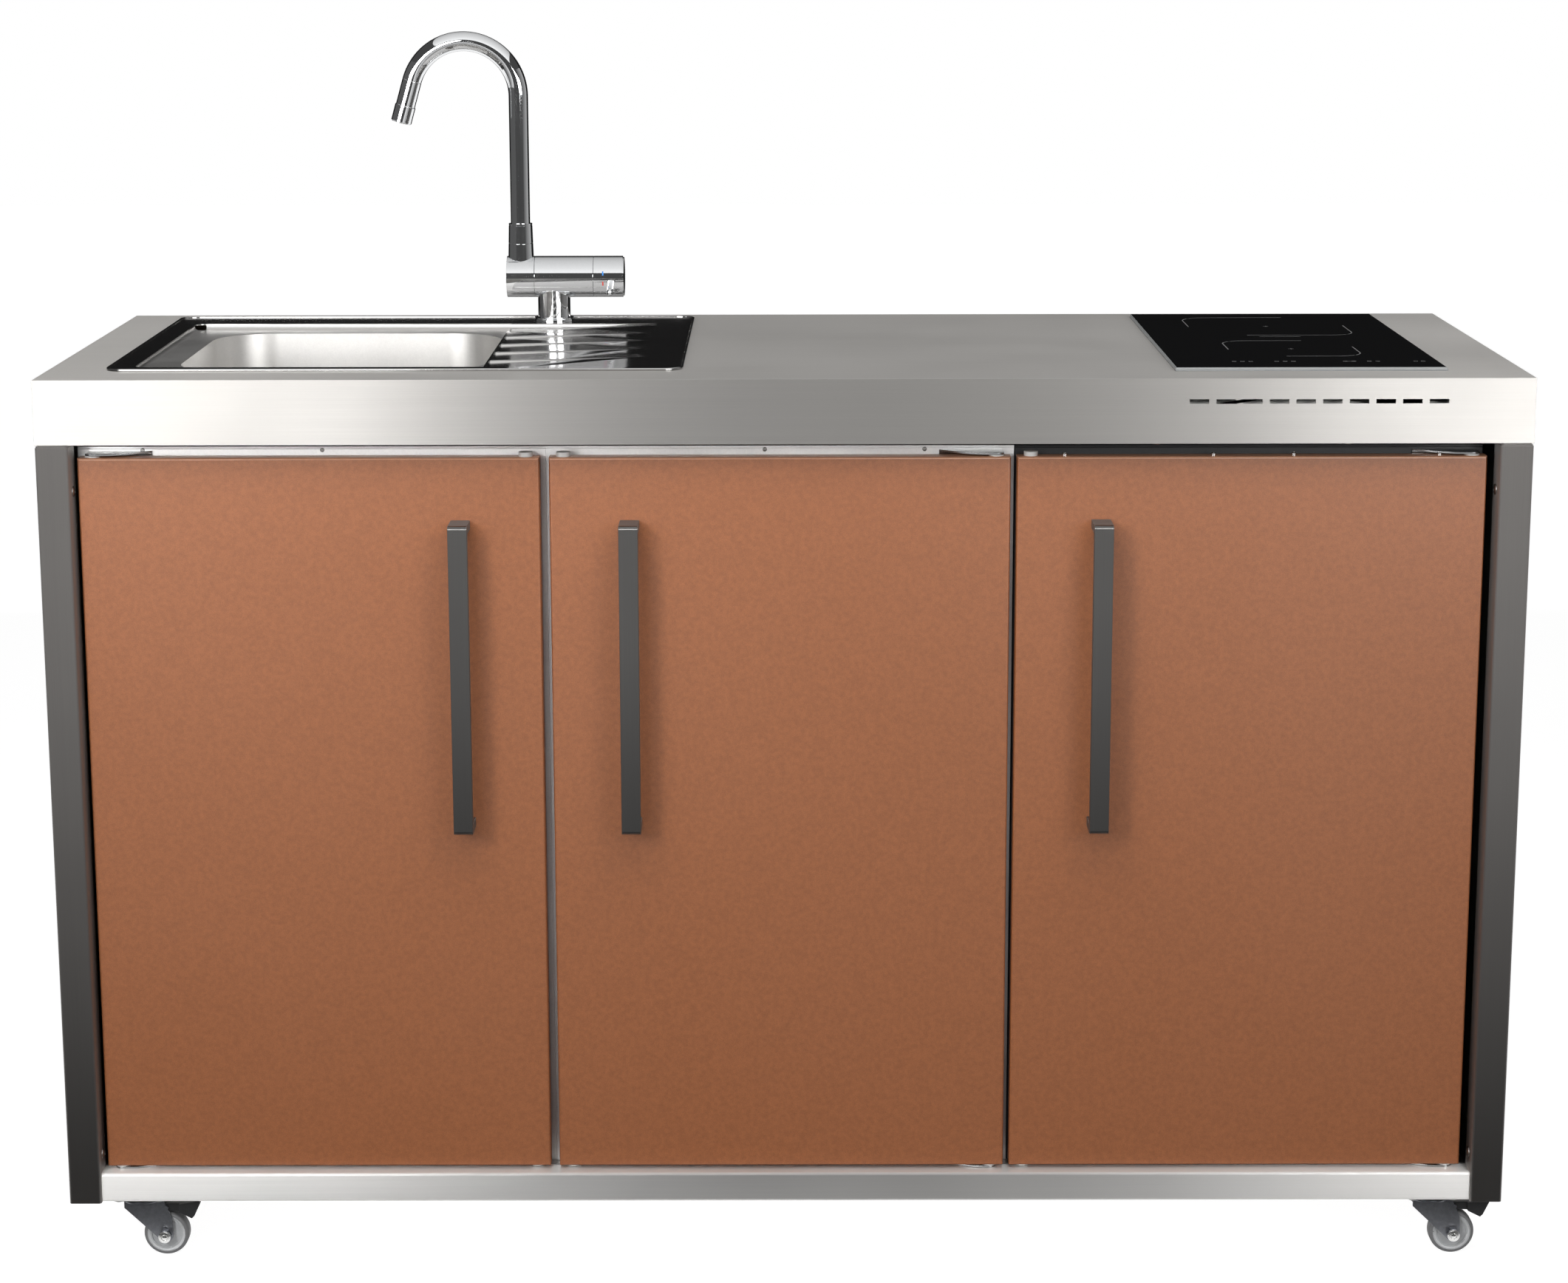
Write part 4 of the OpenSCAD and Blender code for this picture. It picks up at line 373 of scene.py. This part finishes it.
def dress(node, *materials, bevel=0.5, brush=None, pick=None, angle=32):
    """The node's own shape with softened edges, smooth curves and real materials, in its place."""
    mesh = merged_copy(node)
    mesh.shade_smooth()
    mesh.set_sharp_from_angle(angle=math.radians(angle))
    draft = bpy.data.objects.new("draft", mesh)
    SCENE.collection.objects.link(draft)
    if bevel:
        soften = draft.modifiers.new("Softened edges", "BEVEL")
        soften.width = bevel * MM
        soften.segments = 2
        soften.limit_method = "ANGLE"
        soften.angle_limit = math.radians(angle)
        soften.harden_normals = True
        soften.miter_outer = "MITER_ARC"
    bpy.context.view_layer.update()
    final = plain_mesh(draft)
    bpy.data.objects.remove(draft)
    if brush:
        brush_map(final, brush)
    piece = new_piece(node + "_finish", final, BODY_OF[node], SLOT_OF[node], *materials, replaces=[node])
    if pick:
        for face in final.polygons:
            face.material_index = pick(face)
    return piece


def paint(node, material):
    """Gives a CAD node that keeps its own shape its material."""
    mesh = NODES[node].data
    mesh.materials.clear()
    mesh.materials.append(material)


# ---------------------------------------------------------------- the unit's own pieces

X_AXIS, Y_AXIS, Z_AXIS = (1, 0, 0), (0, 1, 0), (0, 0, 1)


def worktop_part(face):
    """Top 2 (a darker steel as painted shade), ends 1, softened front edge 3 (a lighter steel as a painted
    highlight), and all else as the fascia 0.
    """
    if face.normal.z > 0.9:
        return 2
    if abs(face.normal.x) > 0.7:
        return 1
    return 3 if face.normal.z > 0.2 and face.normal.y < -0.2 else 0


def facing_out(face):
    """1 on the faces that look to the front, which take a bright metal as painted light."""
    return int(face.normal.y < -0.9)


def highlighted_top(face):
    """1 on the faces that look up, such as a door's top with its softened edge, which take a lighter copper
    as a painted highlight.
    """
    return int(face.normal.z > 0.25)


dress("worktop", steel_top_x, steel_top_y, steel_top, steel_edge_highlight, bevel=1.0, brush=X_AXIS,
      pick=worktop_part)
for corner in CORNERS:
    dress(corner + "_post", steel_post, bevel=0.4, brush=Z_AXIS)
dress("long_rails", steel_rail_x, bevel=0, brush=X_AXIS)
dress("side_rails", steel_rail_y, bevel=0, brush=Y_AXIS)
dress("side_panels", steel_panel, bevel=0.3, brush=Z_AXIS)
dress("back_panel", steel_panel, bevel=0.3, brush=Z_AXIS)
paint("base_pan", steel_pan)
paint("worktop_frame", steel_pan)
paint("worktop_core", core_board)
dress("left_cabinet", cabinet_coat, cabinet_front_light, bevel=0.8, pick=facing_out)
dress("middle_cabinet", cabinet_coat, cabinet_front_light, bevel=0.8, pick=facing_out)
dress("cabinet_shelf", cabinet_coat, bevel=0.3)
RIM_DEPTH = 3.2 * MM  # the polished rim reaches this far under the sink's top
TO_DRAINER = 0.29  # metres from the waste's left side to the polished drainer
RIM_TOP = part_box("sink")[1].z - RIM_DEPTH
BOWL_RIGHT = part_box("sink_waste")[0].x + TO_DRAINER
dress("sink", steel_sink, steel_rim, bevel=0.5,
      pick=lambda face: int(face.center.z > RIM_TOP or face.center.x > BOWL_RIGHT))
dress("sink_waste", steel_sink, bevel=0.3)
dress("strainer_basket", steel_sink, bevel=0.2)
dress("drain_trap", drain_plastic, bevel=0.5)
for node in ("tap_body", "tap_fold", "tap_spout", "tap_cap", "tap_lever", "tap_aerator"):
    dress(node, chrome, bevel=0.6)
dress("hob_glass", hob_black, glass_edge, bevel=0.5, pick=lambda face: int(face.normal.z < 0.9))
paint("hob_case", zinc_plate)
paint("hob_coils", coil_wire)
dress("fridge_body", fridge_coat, bevel=0.5)
dress("fridge_liner", liner_plastic, bevel=0.8)
dress("fridge_shelves", shelf_glass, bevel=0.6)
dress("fridge_gasket", seal_rubber, bevel=0.8)
dress("compressor", black_coat, bevel=0.8)
dress("thermostat_knob", white_plastic, bevel=0.4)
dress("service_inlets", brass, bevel=0.3)
for side in ("left", "middle", "right"):
    dress(side + "_door", copper_coat, copper_highlight, bevel=1.2, pick=highlighted_top)
    dress(side + "_handle", steel_handle, bevel=0.6, brush=Z_AXIS)
    dress(side + "_door_bushes", white_plastic, bevel=0.3)
dress("left_door_liner", cabinet_coat, bevel=0.5)
dress("middle_door_liner", cabinet_coat, bevel=0.5)
dress("right_door_liner", liner_plastic, bevel=0.8)
dress("hinge_brackets", chrome_hinge, bevel=0.25)
dress("castor_plates", zinc_plate, bevel=0.25)
TREAD_R, RING_R, RING_DEPTH = 19.7, 16.2, 1.2  # mm: where tread and ring start, and the ring's depth
for corner in CORNERS:
    low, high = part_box(corner + "_wheel")
    axle_x, axle_z = (low.x + high.x) / 2, (low.z + high.z) / 2
    wheel_y, wheel_w = (low.y + high.y) / 2, high.y - low.y

    def wheel_part(face, x=axle_x, z=axle_z, y=wheel_y, half=wheel_w / 2):
        """Tread 1, pale ring at the wheel's two sides 2, hub 0."""
        out = math.hypot(face.center.x - x, face.center.z - z) / MM
        if out > TREAD_R:
            return 1
        return 2 if out > RING_R and abs(face.center.y - y) > half - RING_DEPTH * MM else 0

    dress(corner + "_fork", zinc_dark, bevel=0.3)
    dress(corner + "_wheel", hub_plastic, tyre_rubber, hub_ring_plastic, bevel=0.3, pick=wheel_part)
dress("left_brake_pedal", black_coat, bevel=0.4)
dress("right_brake_pedal", black_coat, bevel=0.4)

# ---------------------------------------------------------------- small forms that repeat


def repeat_group():
    """Geometry nodes: a form on each point, its Z axis turned along the point's facing."""
    g, i, o = new_group("Repeat on points", "GeometryNodeTree",
                        [("Points", "NodeSocketGeometry", None), ("Form", "NodeSocketObject", None),
                         ("Size", "NodeSocketFloat", 1.0), ("Finish", "NodeSocketMaterial", None)],
                        [("Geometry", "NodeSocketGeometry")])
    form = put(g, "GeometryNodeObjectInfo", {"Object": i.outputs["Form"]})
    facing = put(g, "GeometryNodeInputNamedAttribute", {"Name": "facing"}, data_type="FLOAT_VECTOR")
    turned = put(g, "FunctionNodeAlignRotationToVector", {"Vector": facing.outputs["Attribute"]}, axis="Z")
    copies = put(g, "GeometryNodeInstanceOnPoints", {
        "Points": i.outputs["Points"], "Instance": form.outputs["Geometry"],
        "Rotation": turned.outputs["Rotation"], "Scale": i.outputs["Size"]})
    whole = put(g, "GeometryNodeRealizeInstances", {"Geometry": copies.outputs["Instances"]})
    finished = put(g, "GeometryNodeSetMaterial", {"Geometry": whole.outputs["Geometry"],
                                                  "Material": i.outputs["Finish"]})
    g.links.new(finished.outputs["Geometry"], o.inputs["Geometry"])
    return g


REPEAT = repeat_group()


def turned_form(name, rings, steps=24):
    """A form turned about Z from rings (radius, height, sides); sides 6 makes a hexagon, 0 a circle."""
    bm = bmesh.new()
    rows = []
    for radius, height, sides in rings:
        row = []
        for k in range(steps):
            angle = 2 * math.pi * k / steps
            r = radius
            if sides:
                part = math.pi / sides
                r = radius * math.cos(part) / math.cos((angle + part) % (2 * part) - part)
            row.append(bm.verts.new((r * MM * math.cos(angle), r * MM * math.sin(angle), height * MM)))
        rows.append(row)
    for a, b in zip(rows, rows[1:]):
        for k in range(steps):
            bm.faces.new((a[k], a[(k + 1) % steps], b[(k + 1) % steps], b[k]))
    bm.faces.new(list(reversed(rows[0])))
    bm.faces.new(rows[-1])
    mesh = bpy.data.meshes.new(name)
    bm.to_mesh(mesh)
    bm.free()
    mesh.shade_smooth()
    mesh.set_sharp_from_angle(angle=math.radians(35))
    form = bpy.data.objects.new(name, mesh)
    SCENE.collection.objects.link(form)
    return form


def repeat_on(name, form, places, body, slot, material, size=1.0, replaces=()):
    """Copies of a form as one piece; places are (point, facing) in metres."""
    mesh = bpy.data.meshes.new(name + " points")
    mesh.from_pydata([point for point, facing in places], [], [])
    facings = mesh.attributes.new("facing", "FLOAT_VECTOR", "POINT")
    for k, (point, facing) in enumerate(places):
        facings.data[k].vector = facing
    draft = bpy.data.objects.new("draft", mesh)
    SCENE.collection.objects.link(draft)
    nodes = draft.modifiers.new("Repeat", "NODES")
    nodes.node_group = REPEAT
    values = {"Form": form, "Size": size, "Finish": material}
    for item in REPEAT.interface.items_tree:
        if item.in_out == "INPUT" and item.name in values:
            nodes[item.identifier] = values[item.name]
    bpy.context.view_layer.update()
    final = plain_mesh(draft)
    bpy.data.objects.remove(draft)
    return new_piece(name, final, body, slot, material, replaces=replaces)


HEAD_H = 2.2  # mm that a button head stands over its seat
SHANK_END, SHANK_WIDTHS = 0.2, (4, 6.5)  # mm: depth read at an end, and the limits of a shank's width


def screw_places(node):
    """Where the heads of a node's screws sit and which way they face, read from its shanks' ends."""
    mesh = merged_copy(node)
    bm = bmesh.new()
    bm.from_mesh(mesh)
    places, seen = [], set()
    for start in bm.verts:
        if start in seen:
            continue
        island, queue = [], [start]
        seen.add(start)
        while queue:
            vert = queue.pop()
            island.append(vert.co.copy())
            for edge in vert.link_edges:
                other = edge.other_vert(vert)
                if other not in seen:
                    seen.add(other)
                    queue.append(other)
        places.append(head_of(island))
    bm.free()
    return places


def head_of(points):
    """The seat centre and facing of one screw, whose thin shank ends opposite the head."""
    low = Vector(min(p[k] for p in points) for k in range(3))
    high = Vector(max(p[k] for p in points) for k in range(3))
    best = None
    for axis in range(3):
        for end, sign in ((low[axis], 1), (high[axis], -1)):
            cap = [p for p in points if abs(p[axis] - end) < SHANK_END * MM]
            others = [k for k in range(3) if k != axis]
            reach = max(max(p[k] for p in cap) - min(p[k] for p in cap) for k in others)
            thin = SHANK_WIDTHS[0] * MM < reach < SHANK_WIDTHS[1] * MM
            if len(cap) >= 8 and thin and (best is None or reach < best[0]):
                best = (reach, axis, sign)
    reach, axis, sign = best
    facing = Vector((0, 0, 0))
    facing[axis] = sign
    seat = (low + high) / 2
    seat[axis] = (high[axis] if sign > 0 else low[axis]) - sign * HEAD_H * MM
    return seat, facing


button_head = turned_form("button head", [(5.2, -0.1, 0), (6.0, 0.05, 0), (5.75, 0.85, 0), (4.7, 1.6, 0),
                                          (3.3, 2.08, 0), (2.5, 2.2, 0), (2.2, 2.16, 6), (2.1, 0.8, 6),
                                          (0.4, 0.55, 0)])
small_head = turned_form("small head", [(1.8, -0.3, 0), (1.8, 0.0, 0), (3.0, 0.1, 0), (3.0, 2.2, 0),
                                        (2.5, 2.9, 0), (1.6, 3.1, 0), (1.5, 3.05, 6), (1.4, 1.5, 6),
                                        (0.3, 1.4, 0)])
AXLE_NUT_H = 4.0
axle_nut = turned_form("axle nut", [(6.4, -0.2, 0), (6.7, 0.2, 0), (6.7, 3.4, 0), (5.9, 4.2, 0),
                                    (3.6, 4.3, 0), (3.2, 3.5, 0), (2.7, 3.5, 0), (2.5, 4.7, 0),
                                    (0.8, 5.0, 0)])

# places in metres, those along X as measured in the photograph
DOOR_SCREWS_X = (0.2981, 0.4561, 0.5413, 0.6960)
DOOR_SCREWS_IN = 0.009  # in front of the door's back
FASCIA_STUDS_X = (0.3939, 0.5951)
FASCIA_STUDS_Y = -0.2805
RAIL_SCREWS_X = (-0.6848, -0.4931, -0.0206, 0.150)
RAIL_SCREWS_DOWN = 4 * MM  # under the cabinet's top

repeat_on("frame_screw_heads", button_head, screw_places("frame_screws"), BODY_OF["frame_screws"],
          SLOT_OF["frame_screws"], steel_screw, replaces=["frame_screws"])
door_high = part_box("right_door")[1]
repeat_on("door_top_screws", small_head,
          [(Vector((x, door_high.y - DOOR_SCREWS_IN, door_high.z)), Vector(Z_AXIS)) for x in DOOR_SCREWS_X],
          BODY_OF["right_door"], SLOT_OF["right_door_bushes"], bright_zinc, size=0.95)
top_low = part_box("worktop")[0]
repeat_on("fascia_studs", button_head,
          [(Vector((x, FASCIA_STUDS_Y, top_low.z)), Vector((0, 0, -1))) for x in FASCIA_STUDS_X],
          BODY_OF["worktop"], SLOT_OF["frame_screws"], steel_screw, size=0.75)
cabinet_low, cabinet_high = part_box("left_cabinet")
repeat_on("cabinet_rail_screws", button_head,
          [(Vector((x, cabinet_low.y, cabinet_high.z - RAIL_SCREWS_DOWN)), Vector((0, -1, 0)))
           for x in RAIL_SCREWS_X],
          BODY_OF["left_cabinet"], SLOT_OF["frame_screws"], steel_screw, size=0.4)
for corner in CORNERS:
    fork_low, fork_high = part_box(corner + "_fork")
    wheel_low, wheel_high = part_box(corner + "_wheel")
    axle = (wheel_low + wheel_high) / 2
    repeat_on(corner + "_axle_nuts", axle_nut,
              [(Vector((axle.x, y, axle.z)), Vector((0, facing, 0)))
               for y, facing in ((fork_low.y + AXLE_NUT_H * MM, -1), (fork_high.y - AXLE_NUT_H * MM, 1))],
              BODY_OF[corner + "_fork"], SLOT_OF[corner + "_fork"], bright_zinc)
for form in (button_head, small_head, axle_nut):
    bpy.data.objects.remove(form)


def curved_mark(name, centre, radius, width, low_angle, high_angle, body, slot, material, steps=8):
    """A printed mark on a level cylinder along X, between two angles above the front."""
    bm = bmesh.new()
    rows = []
    for k in range(steps + 1):
        angle = math.radians(low_angle + (high_angle - low_angle) * k / steps)
        row = []
        for side, r in ((-1, radius - 0.02), (1, radius - 0.02), (1, radius + 0.05), (-1, radius + 0.05)):
            row.append(bm.verts.new((centre.x + side * width * MM / 2, centre.y - r * MM * math.cos(angle),
                                     centre.z + r * MM * math.sin(angle))))
        rows.append(row)
    for a, b in zip(rows, rows[1:]):
        for k in range(4):
            bm.faces.new((a[k], a[(k + 1) % 4], b[(k + 1) % 4], b[k]))
    bm.faces.new(rows[0])
    bm.faces.new(rows[-1])
    bmesh.ops.recalc_face_normals(bm, faces=bm.faces)
    mesh = bpy.data.meshes.new(name)
    bm.to_mesh(mesh)
    bm.free()
    return new_piece(name, mesh, body, slot, material)


MARK_X = -0.2158  # metres
MARK_HALF, MARK_W = 2.5, 1.6  # mm: half its length round the barrel, and its width
MARK_HEIGHTS = (("cold_mark", 1.0471, blue_mark), ("hot_mark", 1.0349, red_mark))  # metres over the floor
cap_low, cap_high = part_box("tap_cap")
barrel_r = (cap_high.z - cap_low.z) / 2 / MM
mark_centre = Vector((MARK_X, (cap_low.y + cap_high.y) / 2, (cap_low.z + cap_high.z) / 2))
for name, height, material in MARK_HEIGHTS:
    middle = math.degrees(math.asin((height - mark_centre.z) / MM / barrel_r))
    reach = math.degrees(MARK_HALF / barrel_r)
    curved_mark(name, mark_centre, barrel_r, MARK_W, middle - reach, middle + reach,
                BODY_OF["tap_cap"], SLOT_OF["tap_cap"], material)

# ---------------------------------------------------------------- printed marks of the hob


def strips(name, paths, width, height, body, slot, material):
    """Thin level strips along paths of points (x, y, z) in mm; y counts from the worktop's middle."""
    bm = bmesh.new()
    for path in paths:
        points = [Vector((x, y + WORKTOP_MIDDLE_Y, z)) * MM for x, y, z in path]
        rows = []
        for k, p in enumerate(points):
            ahead = points[min(k + 1, len(points) - 1)] - points[max(k - 1, 0)]
            side = Vector((-ahead.y, ahead.x, 0)).normalized() * width * MM / 2
            rows.append([bm.verts.new(p + s * side + Vector((0, 0, h * height * MM)))
                         for s, h in ((1, 0), (-1, 0), (-1, 1), (1, 1))])
        for a, b in zip(rows, rows[1:]):
            for k in range(4):
                bm.faces.new((a[k], a[(k + 1) % 4], b[(k + 1) % 4], b[k]))
        bm.faces.new(list(reversed(rows[0])))
        bm.faces.new(rows[-1])
    bmesh.ops.recalc_face_normals(bm, faces=bm.faces)
    mesh = bpy.data.meshes.new(name)
    bm.to_mesh(mesh)
    bm.free()
    return new_piece(name, mesh, body, slot, material)


def rounded_path(points, radius, steps=8):
    """An open path in x and y with its inner corners rounded."""
    path = [points[0]]
    for a, b, c in zip(points, points[1:], points[2:]):
        a, b, c = Vector(a), Vector(b), Vector(c)
        u, v = (a - b).normalized(), (c - b).normalized()
        start, end = b + u * radius, b + v * radius
        for k in range(steps + 1):
            t = k / steps
            path.append(tuple((1 - t) ** 2 * start + 2 * t * (1 - t) * b + t * t * end))
    return path + [points[-1]]


HOB_TOP = 991.02  # mm, just over the glass


def on_glass(points):
    """Points in x and y laid on the hob glass."""
    return [(x, y, HOB_TOP) for x, y in points]


def cross_paths(x, y, arm=3):
    """The two strokes of a small upright cross."""
    return [[(x - arm, y), (x + arm, y)], [(x, y - arm), (x, y + arm)]]


def circle_path(x, y, r, steps=20):
    """A closed ring as a path."""
    return [(x + r * math.cos(a * 2 * math.pi / steps), y + r * math.sin(a * 2 * math.pi / steps))
            for a in range(steps + 1)]


# all in mm; the lines' and keys' places are measured in the photograph
ZONE_CORNER_R, ZONE_LINE_W, KEY_LINE_W, PRINT_H = 14, 1.1, 0.7, 0.03
ZONE_CORNERS = ([(594, 224), (490, 222), (473, 205), (473, 130)],
                [(655, 140), (655, 62), (640, 47), (531, 47)],
                [(585, -5), (512, -5), (493, -20), (493, -84)],
                [(634, -62), (634, -128), (618, -145), (549, -145)])
ZONE_MIDDLES, ZONE_DIVIDER = ((564, 134), (563, -80)), [(543, 32), (590, 32)]
KEYS_X, KEYS_Y, KEY_R = (486, 495, 504, 532, 541, 550, 606, 615, 632, 641, 682, 690), -190, 2.1
KEY_BAR = [(606, KEYS_Y), (618, KEYS_Y)]
zone_lines = [rounded_path(corners, ZONE_CORNER_R) for corners in ZONE_CORNERS]
fine_lines = [path for x, y in ZONE_MIDDLES for path in cross_paths(x, y)] + [ZONE_DIVIDER]
keys = [circle_path(x, KEYS_Y, KEY_R) for x in KEYS_X] + [KEY_BAR]
for name, paths, width in (("hob_zone_lines", zone_lines, ZONE_LINE_W),
                           ("hob_key_marks", fine_lines + keys, KEY_LINE_W)):
    strips(name, [on_glass(p) for p in paths], width, PRINT_H, "unit", "hob_glass", hob_print)

# ---------------------------------------------------------------- studio and camera


def seen_rays(tree):
    """1 for camera, glossy and see-through rays."""
    path = put(tree, "ShaderNodeLightPath")
    seen = put(tree, "ShaderNodeMath", {0: path.outputs["Is Camera Ray"], 1: path.outputs["Is Glossy Ray"]},
               operation="MAXIMUM")
    return put(tree, "ShaderNodeMath", {0: seen.outputs[0], 1: path.outputs["Is Transmission Ray"]},
               operation="MAXIMUM").outputs[0]


def studio_floor_material(colour, glow):
    """Pale floor that camera, glossy and see-through rays find a little brighter."""
    material, tree, shader = new_material("Pale floor", roughness=0.9)
    shader.inputs["Base Color"].default_value = rgba(colour)
    seen = put(tree, "ShaderNodeMath", {0: seen_rays(tree), 1: glow}, operation="MULTIPLY")
    shader.inputs["Emission Color"].default_value = (1, 1, 1, 1)
    tree.links.new(seen.outputs[0], shader.inputs["Emission Strength"])
    return material


def panel(name, corners, material):
    """A flat studio sheet."""
    mesh = bpy.data.meshes.new(name)
    mesh.from_pydata(corners, [], [tuple(range(len(corners)))])
    sheet = bpy.data.objects.new(name, mesh)
    mesh.materials.append(material)
    SCENE.collection.objects.link(sheet)
    return sheet


def flag(name, tone, corners, far_tone=None):
    """A card that only reflections show, evenly bright or graded from its back to far_tone in front."""
    material, tree, shader = new_material(name + " paint", roughness=1.0, specular_ior_level=0.0)
    shader.inputs["Base Color"].default_value = (0, 0, 0, 1)
    shader.inputs["Emission Color"].default_value = (1, 1, 1, 1)
    shader.inputs["Emission Strength"].default_value = tone
    if far_tone is not None:
        place = put(tree, "ShaderNodeSeparateXYZ", {0: put(tree, "ShaderNodeTexCoord").outputs["Object"]})
        near, far = max(c[1] for c in corners), min(c[1] for c in corners)
        tree.links.new(spread(tree, place.outputs["Y"], far, near, far_tone, tone),
                       shader.inputs["Emission Strength"])
    card = panel(name, corners, material)
    card.visible_camera = False
    card.visible_diffuse = False
    card.visible_shadow = False
    card.visible_transmission = False


def softbox(name, place, aim, size, power):
    """A white area lamp that reflections and the camera don't show."""
    data = bpy.data.lights.new(name, "AREA")
    data.shape = "RECTANGLE"
    data.size, data.size_y = size
    data.energy = power
    lamp = bpy.data.objects.new(name, data)
    lamp.location = place
    lamp.rotation_euler = (Vector(aim) - Vector(place)).to_track_quat("-Z", "Y").to_euler()
    lamp.visible_camera = False
    lamp.visible_glossy = False
    SCENE.collection.objects.link(lamp)


# the studio in metres: half the floor's width, then the sides, front, back and top of its cards
FLOOR, SIDE, FRONT, BACK, TOP = 14, 6, -6.5, 3.4, 4.4
CARD_END, CARD_LIFT = -0.33, 0.002  # the floor's card ends before the unit and lies just over the floor
panel("studio_floor", [(-FLOOR, -FLOOR, 0), (FLOOR, -FLOOR, 0), (FLOOR, FLOOR, 0), (-FLOOR, FLOOR, 0)],
      studio_floor_material((0.22, 0.22, 0.22), 0.92))
flag("card_behind", 0.01, [(-SIDE, BACK, 0.01), (SIDE, BACK, 0.01), (SIDE, BACK, TOP), (-SIDE, BACK, TOP)])
flag("card_in_front", 0.06, [(-SIDE, FRONT, 0), (SIDE, FRONT, 0), (SIDE, FRONT, TOP), (-SIDE, FRONT, TOP)])
flag("card_left", 0.10, [(-SIDE, FRONT, 0), (-SIDE, BACK, 0), (-SIDE, BACK, TOP), (-SIDE, FRONT, TOP)])
flag("card_right", 0.45, [(SIDE, FRONT, 0), (SIDE, BACK, 0), (SIDE, BACK, TOP), (SIDE, FRONT, TOP)],
     far_tone=0.03)
flag("card_above", 0.06, [(-SIDE, FRONT, TOP), (SIDE, FRONT, TOP), (SIDE, BACK, TOP), (-SIDE, BACK, TOP)])
flag("card_on_floor", 0.03, [(-SIDE, FRONT, CARD_LIFT), (SIDE, FRONT, CARD_LIFT),
                             (SIDE, CARD_END, CARD_LIFT), (-SIDE, CARD_END, CARD_LIFT)], far_tone=0.95)
flag("ceiling_card", 0.30, [(-1.6, -3.4, 2.7), (1.6, -3.4, 2.7), (1.6, 3.3, 3.3), (-1.6, 3.3, 3.3)],
     far_tone=1.15)
flag("left_reflector", 9.8, [(-3.3, -3.2, 1.15), (-0.8, -3.9, 1.15), (-0.8, -3.8, 2.2), (-3.3, -3.1, 2.2)])
flag("right_reflector", 10.5, [(1.15, -3.9, 1.15), (3.4, -3.2, 1.15), (3.4, -3.1, 2.2), (1.15, -3.8, 2.2)])
softbox("left_softbox", (-2.1, -3.7, 2.4), (-0.1, 0, 0.6), (0.85, 1.4), 55)
softbox("right_softbox", (2.3, -3.7, 2.4), (0.1, 0, 0.6), (0.7, 1.4), 24)
softbox("top_softbox", (0.0, -1.6, 3.3), (0, 0, 0.8), (3.4, 1.4), 78)
softbox("front_fill", (-0.3, -3.9, 1.2), (0, 0, 0.85), (1.6, 0.5), 9)

world = bpy.data.worlds.new("Studio")
SCENE.world = world
world.use_nodes = True
tree = world.node_tree
tree.nodes.clear()
DIFFUSE_SKY = 0.14  # strength for diffuse rays; the rays that seen_rays marks find 1, which is white
strength = blend_value(tree, seen_rays(tree), DIFFUSE_SKY, 1.0)
sky = put(tree, "ShaderNodeBackground", {"Color": (1, 1, 1, 1), "Strength": strength})
out = put(tree, "ShaderNodeOutputWorld")
tree.links.new(sky.outputs["Background"], out.inputs["Surface"])

SCENE.view_settings.view_transform = "Standard"

# the camera as fitted to the photograph: radians, metres, pixels of the photograph, and mm
YAW, PITCH, ROLL = 0.0015, 0.2076, -0.0019
CAMERA_AT = (0.0050, -3.8821, 1.4628)
FOCAL_PX, PHOTO_W, SENSOR_MM = 4662.85, 2122, 36.0
right = Vector((math.cos(YAW), math.sin(YAW), 0))
ahead = Vector((-math.sin(YAW) * math.cos(PITCH), math.cos(YAW) * math.cos(PITCH), -math.sin(PITCH)))
down = ahead.cross(right)
across = right * math.cos(ROLL) - down * math.sin(ROLL)
below = right * math.sin(ROLL) + down * math.cos(ROLL)
lens = bpy.data.cameras.new("Camera")
lens.sensor_fit = "HORIZONTAL"
lens.sensor_width = SENSOR_MM
lens.lens = FOCAL_PX / PHOTO_W * SENSOR_MM
lens.clip_end = 60.0
camera = bpy.data.objects.new("Camera", lens)
SCENE.collection.objects.link(camera)
turn = Matrix((across, -below, -ahead)).transposed().to_4x4()
camera.matrix_world = Matrix.Translation(CAMERA_AT) @ turn
SCENE.camera = camera
